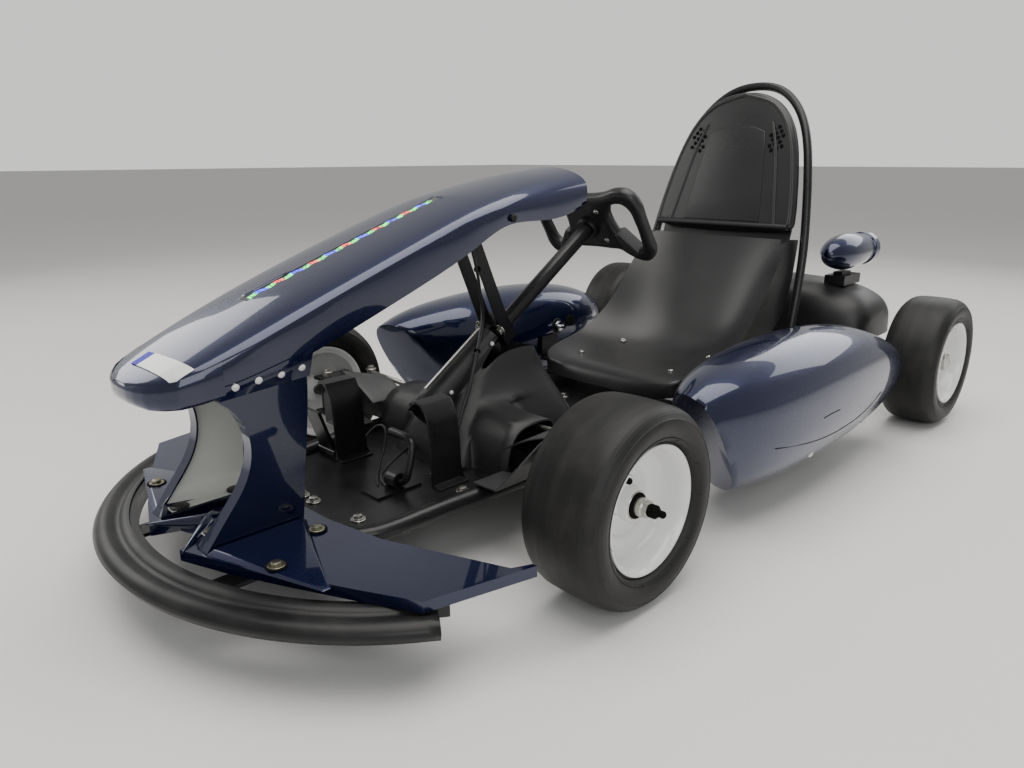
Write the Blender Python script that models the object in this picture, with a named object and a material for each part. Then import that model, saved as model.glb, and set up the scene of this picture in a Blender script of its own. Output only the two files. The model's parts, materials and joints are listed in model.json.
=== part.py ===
"""A child's electric kart: tube chassis, steering, driven rear axle, seat and bodywork.

Metres, +Z up. The kart faces -Y, its left side is +X, and it stands on z = 0.
"""

import math

import bmesh
import bpy
from mathutils import Matrix, Vector

# Overall sizes
WHEELBASE = 0.989
FRONT_TRACK = 0.704
REAR_TRACK = 0.772
TYRE_RADIUS = 0.128
AXLE_Z = 0.128
FRONT_TYRE_WIDTH = 0.115
REAR_TYRE_WIDTH = 0.104
BEAD_RADIUS = 0.0755
RIM_FLANGE_RADIUS = 0.0815
HOOD_TOP = 0.515
HOOD_HALF_WIDTH = 0.100
BUMPER_RADIUS = 0.420
HOOP_TOP = 0.672
SHIFT_Y = -0.3324

# Chassis
RAIL_RADIUS = 0.0135
RAIL_HEIGHT = 0.093
RAIL_FRONT_HEIGHT = 0.085
RAIL_WAIST = 0.160
RAIL_SEAT = 0.195
RAIL_REAR = 0.155
FLOOR_THICKNESS = 0.003
PLATE = 0.003
BEAM_DEPTH = 0.030
BEAM_HEIGHT = 0.030
SCRUB = 0.062
KINGPIN_RADIUS = 0.006

# Steering
STEER_SLOPE = math.radians(33.5)
HUB_Y = 0.369
HUB_Z = 0.418
SHAFT_RADIUS = 0.0125
PITMAN_LENGTH = 0.045
STEER_ARM = 0.088
WHEEL_HALF_WIDTH = 0.118

# Drive
AXLE_RADIUS = 0.0125
SPROCKET_RADIUS = 0.055
PINION_RADIUS = 0.016
DISC_RADIUS = 0.066
MOTOR_RADIUS = 0.045
MOTOR_BEHIND = 0.086
TAIL_BEHIND = 0.036
MOTOR_Z = 0.152

# Clearances
GAP = 0.0003
PIN_GAP = 0.0004

LIFT = TYRE_RADIUS - AXLE_Z
MOTOR_Y = WHEELBASE + MOTOR_BEHIND
TAIL_Y = WHEELBASE + TAIL_BEHIND
KINGPIN_OFFSET = FRONT_TRACK / 2 - SCRUB
RAIL_TOP = RAIL_HEIGHT + RAIL_RADIUS
FLOOR_TOP = RAIL_FRONT_HEIGHT + 0.0045
SHAFT_DIR = Vector((0, math.cos(STEER_SLOPE), math.sin(STEER_SLOPE)))
HUB = Vector((0, HUB_Y, HUB_Z))
STEER_TILT = STEER_SLOPE - math.pi / 2

for old in list(bpy.data.objects):
    bpy.data.objects.remove(old, do_unlink=True)

kart = bpy.data.objects.new("kart", None)
kart.location = (0, SHIFT_Y, LIFT)
bpy.context.collection.objects.link(kart)


def material(name, color, roughness, metallic=0.0, coat=0.0):
    found = bpy.data.materials.get(name)
    if found:
        return found
    made = bpy.data.materials.new(name)
    made.use_nodes = True
    shader = made.node_tree.nodes["Principled BSDF"]
    shader.inputs["Base Color"].default_value = (*color, 1)
    shader.inputs["Roughness"].default_value = roughness
    shader.inputs["Metallic"].default_value = metallic
    shader.inputs["Coat Weight"].default_value = coat
    made.diffuse_color = (*color, 1)
    return made


PAINT = material("midnight_blue_paint", (0.006, 0.014, 0.055), 0.22, 0.6, 1.0)
STEEL_BLACK = material("black_powder_coat", (0.012, 0.012, 0.014), 0.38, 0.3)
PLASTIC = material("black_plastic", (0.018, 0.018, 0.020), 0.42)
RUBBER = material("tyre_rubber", (0.022, 0.021, 0.020), 0.72)
BUMPER_RUBBER = material("bumper_rubber", (0.015, 0.015, 0.016), 0.5)
WHITE = material("white_rim_enamel", (0.80, 0.80, 0.78), 0.25)
ZINC = material("zinc_steel", (0.55, 0.54, 0.50), 0.32, 1.0)
LENS = material("light_lens", (0.05, 0.08, 0.12), 0.15)
BATTERY = material("battery_case", (0.10, 0.11, 0.12), 0.5)
GREY = material("grey_guard", (0.045, 0.046, 0.048), 0.5, 0.2)


def finish(name, bm, mat, origin=(0, 0, 0), smooth=True, angle=40, parent=None):
    """Turn a bmesh in kart coordinates into a named object whose origin is at origin."""
    bmesh.ops.remove_doubles(bm, verts=bm.verts, dist=1e-6)
    bmesh.ops.recalc_face_normals(bm, faces=bm.faces)
    bmesh.ops.translate(bm, verts=bm.verts, vec=-Vector(origin))
    for face in bm.faces:
        face.smooth = smooth
    for edge in bm.edges:
        if len(edge.link_faces) == 2:
            edge.smooth = edge.calc_face_angle(0) < math.radians(angle)
    mesh = bpy.data.meshes.new(name)
    bm.to_mesh(mesh)
    bm.free()
    mesh.materials.append(mat)
    obj = bpy.data.objects.new(name, mesh)
    obj.location = origin
    obj.parent = parent or kart
    bpy.context.collection.objects.link(obj)
    return obj


def hidden(obj):
    """A cutter or a joined shape: it isn't a piece of its own."""
    obj.hide_render = True
    obj.display_type = "WIRE"
    return obj


def boolean(obj, other, operation):
    hidden(other)
    modifier = obj.modifiers.new(other.name, "BOOLEAN")
    modifier.operation = operation
    modifier.solver = "EXACT"
    modifier.object = other
    return obj


def solidify(obj, thickness, offset=-1.0):
    modifier = obj.modifiers.new("wall", "SOLIDIFY")
    modifier.thickness = thickness
    modifier.offset = offset
    modifier.use_even_offset = True
    return obj


def bevel(obj, width, segments=1, angle=40):
    modifier = obj.modifiers.new("edges", "BEVEL")
    modifier.width = width
    modifier.segments = segments
    modifier.limit_method = "ANGLE"
    modifier.angle_limit = math.radians(angle)
    return obj


def box_mesh(low, high):
    bm = bmesh.new()
    bmesh.ops.create_cube(bm, size=1)
    low = Vector(low)
    high = Vector(high)
    size = high - low
    middle = (low + high) / 2
    bmesh.ops.scale(bm, verts=bm.verts, vec=size)
    bmesh.ops.translate(bm, verts=bm.verts, vec=middle)
    return bm


def prism_mesh(outline, axis, low, high):
    """Extrude a closed outline along axis, from low to high. The outline gives the other two axes in order."""
    order = {"x": (1, 2, 0), "y": (0, 2, 1), "z": (0, 1, 2)}[axis]
    bm = bmesh.new()
    verts = []
    for first, second in outline:
        place = [0, 0, 0]
        place[order[0]] = first
        place[order[1]] = second
        place[order[2]] = low
        verts.append(bm.verts.new(place))
    face = bm.faces.new(verts)
    out = bmesh.ops.extrude_face_region(bm, geom=[face])
    moved = [item for item in out["geom"] if isinstance(item, bmesh.types.BMVert)]
    step = [0, 0, 0]
    step[order[2]] = high - low
    bmesh.ops.translate(bm, verts=moved, vec=step)
    return bm


def lathe_mesh(profile, axis, centre, steps, closed=True):
    """Spin a profile of (along, radius) about an axis through centre, with a flat at the bottom."""
    bm = bmesh.new()
    axis_vector = Vector((1, 0, 0)) if axis == "x" else Vector((0, 1, 0)) if axis == "y" else Vector((0, 0, 1))
    out = Vector((0, 0, -1)) if axis != "z" else Vector((0, -1, 0))
    start = out.copy()
    start.rotate(Matrix.Rotation(math.pi / steps, 3, axis_vector))
    centre = Vector(centre)
    verts = []
    for along, radius in profile:
        verts.append(bm.verts.new(centre + axis_vector * along + start * radius))
    edges = []
    for first, second in zip(verts, verts[1:]):
        edges.append(bm.edges.new((first, second)))
    if closed:
        edges.append(bm.edges.new((verts[-1], verts[0])))
    bmesh.ops.spin(
        bm, geom=edges + verts, cent=centre, axis=axis_vector,
        angle=2 * math.pi, steps=steps, use_merge=True, use_duplicate=False,
    )
    bmesh.ops.remove_doubles(bm, verts=bm.verts, dist=1e-6)
    return bm


def cylinder_mesh(start, end, radius, steps=16):
    start = Vector(start)
    end = Vector(end)
    along = end - start
    bm = bmesh.new()
    bmesh.ops.create_cone(
        bm, cap_ends=True, segments=steps, radius1=radius, radius2=radius, depth=along.length,
    )
    turn = Vector((0, 0, 1)).rotation_difference(along.normalized()).to_matrix().to_4x4()
    bmesh.ops.transform(bm, matrix=Matrix.Translation((start + end) / 2) @ turn, verts=bm.verts)
    return bm


def loft_mesh(rings, cap_start=True, cap_end=True, wrap=True):
    bm = bmesh.new()
    made = [[bm.verts.new(point) for point in ring] for ring in rings]
    count = len(made[0])
    spans = count if wrap else count - 1
    for ring, following in zip(made, made[1:]):
        for i in range(spans):
            j = (i + 1) % count
            bm.faces.new((ring[i], ring[j], following[j], following[i]))
    if cap_start:
        bm.faces.new(made[0])
    if cap_end:
        bm.faces.new(list(reversed(made[-1])))
    return bm


def smooth_path(points, per_span=4):
    """Points of a Catmull-Rom curve through the given ones."""
    points = [Vector(point) for point in points]
    ends = [points[0] * 2 - points[1]] + points + [points[-1] * 2 - points[-2]]
    path = []
    for before, first, second, after in zip(ends, ends[1:], ends[2:], ends[3:]):
        for step in range(per_span):
            t = step / per_span
            path.append(0.5 * (
                2 * first + (second - before) * t
                + (2 * before - 5 * first + 4 * second - after) * t * t
                + (3 * first - before - 3 * second + after) * t * t * t
            ))
    path.append(points[-1])
    return path


def tube(name, path, radius, mat, resolution=2, origin=(0, 0, 0)):
    curve = bpy.data.curves.new(name, "CURVE")
    curve.dimensions = "3D"
    curve.bevel_depth = radius
    curve.bevel_resolution = resolution
    curve.use_fill_caps = True
    spline = curve.splines.new("POLY")
    spline.points.add(len(path) - 1)
    for point, place in zip(spline.points, path):
        point.co = (*(Vector(place) - Vector(origin)), 1)
    spline.use_smooth = True
    curve.materials.append(mat)
    obj = bpy.data.objects.new(name, curve)
    obj.location = origin
    obj.parent = kart
    bpy.context.collection.objects.link(obj)
    return obj


def helper(name, bm):
    """A shape that a Boolean adds to a piece or takes from it."""
    return hidden(finish(name, bm, STEEL_BLACK))


def ring_points(x_low, x_high, z_low, z_high, y_of, count=14, power=2.6):
    """A rounded rectangle in XZ. y_of gives each point's Y from its height, 0 at the bottom and 1 at the top."""
    ring = []
    for i in range(count):
        angle = 2 * math.pi * (i + 0.5) / count
        c = math.cos(angle)
        s = math.sin(angle)
        across = math.copysign(abs(c) ** (2 / power), c)
        up = math.copysign(abs(s) ** (2 / power), s)
        x = (x_low + x_high) / 2 + across * (x_high - x_low) / 2
        z = (z_low + z_high) / 2 + up * (z_high - z_low) / 2
        ring.append((x, y_of((up + 1) / 2), z))
    return ring


# Chassis rails, each bent in at the front to meet the other on the centreline
def rail(side, name):
    route = (
        (0.0004, -0.252, 0), (0.050, -0.252, 0), (0.095, -0.251, 0), (0.128, -0.238, 0), (0.146, -0.208, 0.1),
        (0.152, -0.160, 0.5), (RAIL_WAIST, -0.070, 1), (0.176, 0.100, 1), (RAIL_SEAT, 0.300, 1), (RAIL_SEAT, 0.600, 1),
        (0.176, 0.720, 1), (0.158, 0.820, 1), (RAIL_REAR, WHEELBASE - 0.089, 1), (RAIL_REAR, WHEELBASE + 0.095, 1),
    )
    rise = RAIL_HEIGHT - RAIL_FRONT_HEIGHT
    path = smooth_path([(side * x, y, RAIL_FRONT_HEIGHT + rise * lift) for x, y, lift in route], 2)
    return tube(name, path, RAIL_RADIUS, STEEL_BLACK)


rail(1, "rail_left")
rail(-1, "rail_right")

# Cross members: a round one between the rails' ends and a flat bar that carries the side pods
CROSS_Y = WHEELBASE + 0.079
cross_end = RAIL_REAR - RAIL_RADIUS - 0.0006
finish("rear_cross_tube", cylinder_mesh((-cross_end, CROSS_Y, RAIL_HEIGHT), (cross_end, CROSS_Y, RAIL_HEIGHT), 0.0125, 12), STEEL_BLACK)
bar_low = RAIL_TOP + GAP
bar_outline = (
    (-0.2385, bar_low), (0.2385, bar_low), (0.2385, bar_low + 0.050), (0.2355, bar_low + 0.050),
    (0.2355, bar_low + 0.005), (-0.2355, bar_low + 0.005), (-0.2355, bar_low + 0.050), (-0.2385, bar_low + 0.050),
)
finish("pod_cross_bar", prism_mesh(bar_outline, "y", 0.500, 0.550), STEEL_BLACK)

# Floor pan between the rails
floor_half = (
    (0.090, -0.2375), (0.116, -0.226), (0.131, -0.202), (0.1375, -0.160), (0.1445, -0.070),
    (0.1600, 0.100), (0.1785, 0.290), (0.1795, 0.490),
)
floor_outline = [(x, y) for x, y in floor_half] + [(-x, y) for x, y in reversed(floor_half)]
finish("floor_pan", prism_mesh(floor_outline, "z", FLOOR_TOP - FLOOR_THICKNESS, FLOOR_TOP), STEEL_BLACK)

# Front axle beam with a yoke at each end for its kingpin
BEAM_LOW = RAIL_TOP + GAP
BEAM_BACK = 0.048
BEAM_FRONT = BEAM_BACK - BEAM_DEPTH
YOKE_LOW = 0.094
YOKE_HIGH = 0.160
yoke_back = KINGPIN_OFFSET - 0.032
yoke_wall = KINGPIN_OFFSET - 0.026
yoke_end = KINGPIN_OFFSET + 0.016
beam = finish(
    "front_axle_beam",
    box_mesh((-yoke_back - 0.004, BEAM_FRONT, BEAM_LOW), (yoke_back + 0.004, BEAM_BACK, BEAM_LOW + BEAM_HEIGHT)),
    STEEL_BLACK,
)
for side, label in ((1, "left"), (-1, "right")):
    yoke_outline = (
        (yoke_back, YOKE_LOW), (yoke_end, YOKE_LOW), (yoke_end, YOKE_LOW + 0.005), (yoke_wall, YOKE_LOW + 0.005),
        (yoke_wall, YOKE_HIGH - 0.005), (yoke_end, YOKE_HIGH - 0.005), (yoke_end, YOKE_HIGH), (yoke_back, YOKE_HIGH),
    )
    shape = prism_mesh([(side * x, z) for x, z in yoke_outline], "y", -0.018, BEAM_BACK)
    boolean(beam, helper(f"beam_yoke_{label}", shape), "UNION")
for side, label in ((1, "left"), (-1, "right")):
    x = side * KINGPIN_OFFSET
    bore = cylinder_mesh((x, 0, YOKE_LOW - 0.01), (x, 0, YOKE_HIGH + 0.01), KINGPIN_RADIUS + PIN_GAP, 16)
    boolean(beam, helper(f"beam_bore_{label}", bore), "DIFFERENCE")

# Kingpins, steering knuckles with stub axle and steering arm, and tie rods
ARM_LOW = 0.1340
ARM_X = KINGPIN_OFFSET - 0.006
ARM_Y = STEER_ARM
ROD_Z = ARM_LOW + 0.0165
for side, label in ((1, "left"), (-1, "right")):
    pin = Vector((side * KINGPIN_OFFSET, 0, 0))
    pin_profile = (
        (YOKE_LOW - 0.005, 0), (YOKE_LOW - 0.005, 0.010), (YOKE_LOW - GAP, 0.010), (YOKE_LOW - GAP, KINGPIN_RADIUS),
        (YOKE_HIGH + GAP, KINGPIN_RADIUS), (YOKE_HIGH + GAP, 0.0095), (YOKE_HIGH + 0.006, 0.0095), (YOKE_HIGH + 0.006, 0),
    )
    finish(f"kingpin_{label}", lathe_mesh(pin_profile, "z", pin, 16, closed=False), ZINC, origin=pin)
    barrel_profile = (
        (YOKE_LOW + 0.005 + GAP, KINGPIN_RADIUS + PIN_GAP), (YOKE_LOW + 0.005 + GAP, 0.0125),
        (YOKE_HIGH - 0.005 - GAP, 0.0125), (YOKE_HIGH - 0.005 - GAP, KINGPIN_RADIUS + PIN_GAP),
    )
    knuckle = finish(f"knuckle_{label}", lathe_mesh(barrel_profile, "z", pin, 16), STEEL_BLACK, origin=pin)
    stub_root = side * (KINGPIN_OFFSET + 0.009)
    stub_end = side * (FRONT_TRACK / 2 + 0.040)
    stub = cylinder_mesh((stub_root, 0, AXLE_Z), (stub_end, 0, AXLE_Z), 0.0085, 16)
    boolean(knuckle, helper(f"stub_{label}", stub), "UNION")
    arm = box_mesh((side * ARM_X - 0.008, 0.008, ARM_LOW), (side * ARM_X + 0.008, ARM_Y + 0.012, ARM_LOW + 0.006))
    boolean(knuckle, helper(f"arm_{label}", arm), "UNION")
    # The tie rod stands on a ball stud at the arm's end and stops short of the pitman arm's pin
    pivot = Vector((side * ARM_X, ARM_Y, 0))
    rod = finish(
        f"tie_rod_{label}",
        cylinder_mesh(
            (side * 0.022, 0.072, ROD_Z), (side * (ARM_X - 0.003), ARM_Y, ROD_Z), 0.0045, 10,
        ),
        ZINC, origin=(pivot.x, pivot.y, ROD_Z),
    )
    eye = cylinder_mesh((pivot.x, ARM_Y, ARM_LOW + 0.006 + GAP), (pivot.x, ARM_Y, ROD_Z + 0.006), 0.0075, 12)
    boolean(rod, helper(f"rod_end_{label}", eye), "UNION")

# Wheels: tyre, dished rim
SEAT_HALF = 0.0445


def tyre_profile(width):
    half = width / 2
    wall = TYRE_RADIUS - BEAD_RADIUS
    outer = [
        (0.0440, BEAD_RADIUS), (SEAT_HALF, BEAD_RADIUS + 0.006), (half - 0.003, BEAD_RADIUS + wall * 29 / 105),
        (half, BEAD_RADIUS + wall * 57 / 105), (half - 0.004, BEAD_RADIUS + wall * 85 / 105),
        (half - 0.016, TYRE_RADIUS - 0.0015), (0.018, TYRE_RADIUS),
    ]
    return outer + [(-along, radius) for along, radius in reversed(outer)]


flange = SEAT_HALF + GAP + 0.0003
rim_profile = (
    (-0.026, 0.0089), (-0.026, 0.021), (0.008, 0.024), (0.010, 0.067), (-0.046, 0.069),
    (-flange - 0.004, RIM_FLANGE_RADIUS), (-flange, RIM_FLANGE_RADIUS), (-flange + 0.001, BEAD_RADIUS - GAP),
    (flange - 0.001, BEAD_RADIUS - GAP), (flange, RIM_FLANGE_RADIUS), (flange + 0.004, RIM_FLANGE_RADIUS),
    (0.016, 0.066), (0.012, 0.028), (0.024, 0.020), (0.024, 0.0089),
)
# A regular polygon's flats lie inside its circle, so the radius is raised to stand on the ground
WHEEL_STEPS = 24
flat = 1 / math.cos(math.pi / WHEEL_STEPS)


def wheel(label, side, centre, bore, width):
    tyre = lathe_mesh([(along, radius * flat) for along, radius in tyre_profile(width)], "x", centre, WHEEL_STEPS)
    finish(f"tyre_{label}", tyre, RUBBER, origin=centre)
    turned = []
    for along, radius in rim_profile:
        size = bore if radius < 0.009 else radius * (1.0 if radius < 0.075 else flat)
        turned.append((side * along, size))
    finish(f"rim_{label}", lathe_mesh(turned, "x", centre, WHEEL_STEPS), WHITE, origin=centre)


wheel("front_left", 1, (FRONT_TRACK / 2, 0, AXLE_Z), 0.0089, FRONT_TYRE_WIDTH)
wheel("front_right", -1, (-FRONT_TRACK / 2, 0, AXLE_Z), 0.0089, FRONT_TYRE_WIDTH)
wheel("rear_left", 1, (REAR_TRACK / 2, WHEELBASE, AXLE_Z), AXLE_RADIUS + PIN_GAP, REAR_TYRE_WIDTH)
wheel("rear_right", -1, (-REAR_TRACK / 2, WHEELBASE, AXLE_Z), AXLE_RADIUS + PIN_GAP, REAR_TYRE_WIDTH)

# Rear axle, its bearings, sprocket and brake disc
axle_origin = (0, WHEELBASE, AXLE_Z)
axle_end = REAR_TRACK / 2 + 0.034
finish(
    "rear_axle",
    cylinder_mesh((-axle_end, WHEELBASE, AXLE_Z), (axle_end, WHEELBASE, AXLE_Z), AXLE_RADIUS, 16),
    ZINC, origin=axle_origin,
)
for side, label in ((1, "left"), (-1, "right")):
    low = RAIL_TOP + GAP
    block_outline = (
        (WHEELBASE - 0.038, low), (WHEELBASE + 0.038, low), (WHEELBASE + 0.036, low + 0.010),
        (WHEELBASE + 0.023, AXLE_Z), (WHEELBASE + 0.017, AXLE_Z + 0.017), (WHEELBASE, AXLE_Z + 0.024),
        (WHEELBASE - 0.017, AXLE_Z + 0.017), (WHEELBASE - 0.023, AXLE_Z), (WHEELBASE - 0.036, low + 0.010),
    )
    middle = side * RAIL_REAR
    block = finish(f"axle_bearing_{label}", prism_mesh(block_outline, "x", middle - 0.014, middle + 0.014), STEEL_BLACK)
    bore = cylinder_mesh((middle - 0.03, WHEELBASE, AXLE_Z), (middle + 0.03, WHEELBASE, AXLE_Z), AXLE_RADIUS + PIN_GAP, 16)
    boolean(block, helper(f"bearing_bore_{label}", bore), "DIFFERENCE")

SPROCKET_X = 0.088
PINION_X = SPROCKET_X


def hub_disc(name, x, radius, thickness, bore, place_y, place_z, mat, steps=24, hub=0.022):
    side = 1 if x > 0 else -1
    half = thickness / 2
    profile = (
        (-half, bore), (-half, radius), (half, radius), (half, hub), (half + 0.010, hub), (half + 0.010, bore),
    )
    turned = [(side * along, size) for along, size in profile]
    return finish(name, lathe_mesh(turned, "x", (x, place_y, place_z), steps), mat, origin=(x, place_y, place_z))


hub_disc("rear_sprocket", SPROCKET_X, SPROCKET_RADIUS, 0.005, AXLE_RADIUS + PIN_GAP, WHEELBASE, AXLE_Z, ZINC)
hub_disc("brake_disc", -SPROCKET_X, DISC_RADIUS, 0.004, AXLE_RADIUS + PIN_GAP, WHEELBASE, AXLE_Z, ZINC)

# Brake caliper: a block with a slot that straddles the disc
caliper = finish(
    "brake_caliper",
    box_mesh((-SPROCKET_X - 0.017, WHEELBASE + 0.028, 0.165), (-SPROCKET_X + 0.017, WHEELBASE + 0.078, 0.205)),
    STEEL_BLACK,
)
slot = box_mesh((-SPROCKET_X - 0.0032, WHEELBASE + 0.01, 0.150), (-SPROCKET_X + 0.0032, WHEELBASE + 0.066, 0.196))
boolean(caliper, helper("caliper_slot", slot), "DIFFERENCE")

# Motor with its shaft, motor sprocket and chain
motor_place = Vector((0, MOTOR_Y, MOTOR_Z))
motor_profile = (
    (-0.062, 0), (-0.062, 0.036), (-0.056, MOTOR_RADIUS - 0.001), (0.052, MOTOR_RADIUS - 0.001),
    (0.060, 0.034), (0.060, 0.0055), (0.094, 0.0055), (0.094, 0),
)
finish("drive_motor", lathe_mesh(motor_profile, "x", motor_place, 24, closed=False), STEEL_BLACK, origin=motor_place)
pinion_place = (PINION_X, MOTOR_Y, MOTOR_Z)
pinion_profile = (
    (-0.0025, 0.0058), (-0.0025, PINION_RADIUS), (0.0025, PINION_RADIUS), (0.0025, 0.0105),
    (0.0055, 0.0105), (0.0055, 0.0058),
)
finish("motor_sprocket", lathe_mesh(pinion_profile, "x", pinion_place, 20), ZINC, origin=pinion_place)


def belt_outline(offset):
    """The loop that stays offset outside both sprockets."""
    big = Vector((WHEELBASE, AXLE_Z))
    small = Vector((MOTOR_Y, MOTOR_Z))
    along = small - big
    distance = along.length
    lean = math.atan2(along.y, along.x)
    spread = math.acos((SPROCKET_RADIUS - PINION_RADIUS) / distance)
    points = []
    for i in range(17):
        angle = lean + spread + (2 * math.pi - 2 * spread) * i / 16
        radius = SPROCKET_RADIUS + offset
        points.append(big + Vector((math.cos(angle), math.sin(angle))) * radius)
    for i in range(9):
        angle = lean - spread + 2 * spread * i / 8
        radius = PINION_RADIUS + offset
        points.append(small + Vector((math.cos(angle), math.sin(angle))) * radius)
    return points


def chain_mesh():
    inner = belt_outline(0.0008)
    outer = belt_outline(0.0058)
    bm = bmesh.new()
    loops = []
    for points, x in ((inner, -0.004), (outer, -0.004), (outer, 0.004), (inner, 0.004)):
        loops.append([bm.verts.new((SPROCKET_X + x, point.x, point.y)) for point in points])
    for first, second in zip(loops, loops[1:] + loops[:1]):
        for i in range(len(first)):
            j = (i + 1) % len(first)
            bm.faces.new((first[i], first[j], second[j], second[i]))
    return bm


finish("drive_chain", chain_mesh(), STEEL_BLACK)

# Splitter: a flat wing with a turned-down edge
SPLITTER_TOP = RAIL_FRONT_HEIGHT + RAIL_RADIUS + GAP + PLATE
SKIRT = 0.0135
splitter_front = (
    (0.0, -0.372), (0.030, -0.380), (0.043, -0.412), (0.110, -0.388), (0.180, -0.357), (0.255, -0.322),
    (0.325, -0.287), (0.358, -0.154),
)
splitter_rear = ((0.341, -0.178), (0.263, -0.207), (0.184, -0.236), (0.095, -0.250), (0.0, -0.252))


def splitter_mesh():
    bm = bmesh.new()
    edge = [(-x, y) for x, y in reversed(splitter_front[1:])] + list(splitter_front)
    rear = list(splitter_rear) + [(-x, y) for x, y in reversed(splitter_rear[:-1])]
    top = [bm.verts.new((x, y, SPLITTER_TOP)) for x, y in edge + rear]
    bm.faces.new(top)
    low = [bm.verts.new((x, y, SPLITTER_TOP - SKIRT)) for x, y in edge]
    for i in range(len(edge) - 1):
        bm.faces.new((top[i], top[i + 1], low[i + 1], low[i]))
    return bm


solidify(finish("splitter", splitter_mesh(), PAINT, angle=30), PLATE)

# Front bumper: a bent flat bar with two brackets under the splitter, and the rubber that it carries
BUMPER_CENTRE_Y = -0.0532
BUMPER_Z = 0.0752
BUMPER_SPAN = math.radians(56.5)


def arc_sweep(section, span, count):
    """Sweep a closed section of (radius, height) through an arc about the bumper's centre."""
    rings = []
    for i in range(count + 1):
        angle = -span + 2 * span * i / count
        ring = []
        for radius, height in section:
            ring.append((radius * math.sin(angle), BUMPER_CENTRE_Y - radius * math.cos(angle), BUMPER_Z + height))
        rings.append(ring)
    return loft_mesh(rings)


rubber_back = BUMPER_RADIUS - 0.044
rubber_section = (
    (rubber_back, -0.011), (BUMPER_RADIUS - 0.020, -0.013), (BUMPER_RADIUS - 0.006, -0.011),
    (BUMPER_RADIUS, -0.001), (BUMPER_RADIUS - 0.006, 0.009), (BUMPER_RADIUS - 0.018, 0.011),
    (BUMPER_RADIUS - 0.030, 0.006), (BUMPER_RADIUS - 0.036, 0.0125), (rubber_back, 0.0125),
)
finish("bumper_rubber", arc_sweep(rubber_section, BUMPER_SPAN, 28), BUMPER_RUBBER)
bar_back = rubber_back - 0.009
bar_section = (
    (bar_back, -0.010), (rubber_back - GAP * 1.5, -0.010), (rubber_back - GAP * 1.5, 0.010), (bar_back, 0.010),
)
bumper_bar = finish("bumper_bar", arc_sweep(bar_section, BUMPER_SPAN + math.radians(2.2), 28), STEEL_BLACK)
for side, label in ((1, "left"), (-1, "right")):
    lug = box_mesh((side * 0.100 - 0.015, -0.4105, BUMPER_Z - 0.006), (side * 0.100 + 0.015, -0.300, BUMPER_Z - 0.001))
    boolean(bumper_bar, helper(f"bumper_lug_{label}", lug), "UNION")
    rise = box_mesh((side * 0.100 - 0.015, -0.306, BUMPER_Z - 0.006), (side * 0.100 + 0.015, -0.300, SPLITTER_TOP - PLATE - GAP))
    boolean(bumper_bar, helper(f"bumper_rise_{label}", rise), "UNION")

# Hood: a crowned shell from the nose to above the steering wheel
hood_stations = (
    # y, half width, crown height, crease height, lower edge height
    (-0.436, 0.018, 0.2985, 0.2955, 0.2860),
    (-0.428, 0.048, 0.3035, 0.2980, 0.2830),
    (-0.404, 0.076, 0.3150, 0.3045, 0.2815),
    (-0.356, 0.091, 0.3370, 0.3210, 0.2835),
    (-0.269, 0.098, 0.3735, 0.3570, 0.3060),
    (-0.157, 0.100, 0.4135, 0.3990, 0.3480),
    (-0.027, 0.100, 0.4600, 0.4440, 0.3960),
    (0.030, 0.099, 0.4785, 0.4580, 0.4260),
    (0.070, 0.098, 0.4880, 0.4650, 0.4420),
    (0.125, 0.095, 0.4990, 0.4745, 0.4405),
    (0.185, 0.092, 0.5085, 0.4830, 0.4400),
    (0.246, 0.088, 0.5150, 0.4890, 0.4570),
)
hood_scale = HOOD_HALF_WIDTH / 0.100
hood_lift = HOOD_TOP - 0.515


def hood_ring(y, half, crown, crease, low):
    half = half * hood_scale
    drop = crown - crease
    right = (
        (0.0, crown), (0.42 * half, crown - 0.10 * drop), (0.74 * half, crown - 0.36 * drop),
        (0.93 * half, crown - 0.72 * drop), (half, crease - 0.002), (half + 0.001, (crease + low) / 2),
        (half - 0.002, low),
    )
    points = [(-x, y, z + hood_lift) for x, z in reversed(right[1:])] + [(x, y, z + hood_lift) for x, z in right]
    return points


hood_rings = [hood_ring(*station) for station in hood_stations]
hood = finish("hood", loft_mesh(hood_rings, False, False, wrap=False), PAINT, angle=50)
solidify(hood, PLATE)
SLOT_HALF = 0.0085
slot_cut = []
lens_rings = []
for y, crown in ((-0.285, 0.3673), (-0.157, 0.4135), (-0.027, 0.4600), (0.020, 0.4753)):
    slot_cut.append([(x, y, crown + hood_lift + z) for x, z in ((-SLOT_HALF, -0.02), (SLOT_HALF, -0.02), (SLOT_HALF, 0.02), (-SLOT_HALF, 0.02))])
    inside = SLOT_HALF - GAP * 1.5
    trim = 0.0005 if y < -0.2 else -0.0005 if y > 0 else 0
    slope = 0.356 * trim
    lens_rings.append([(x, y + trim, crown + hood_lift + z + slope) for x, z in ((-inside, -0.0055), (inside, -0.0055), (inside, -0.0008), (-inside, -0.0008))])
boolean(hood, helper("hood_light_slot", loft_mesh(slot_cut)), "DIFFERENCE")
finish("light_strip", loft_mesh(lens_rings), LENS)

# Hood legs: side plates with a turned-in front edge and a foot
LEG_LOW = SPLITTER_TOP + GAP
leg_front = (
    (-0.395, LEG_LOW), (-0.366, 0.140), (-0.346, 0.164), (-0.336, 0.186), (-0.332, 0.207),
    (-0.333, 0.226), (-0.339, 0.245), (-0.350, 0.262), (-0.368, 0.277),
)
leg_rest = ((-0.356, 0.2865), (-0.262, 0.312), (-0.254, 0.284), (-0.262, 0.200), (-0.272, LEG_LOW))


def leg_x(z):
    return 0.0760 + (z - LEG_LOW) * 0.0085 / 0.205


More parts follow.
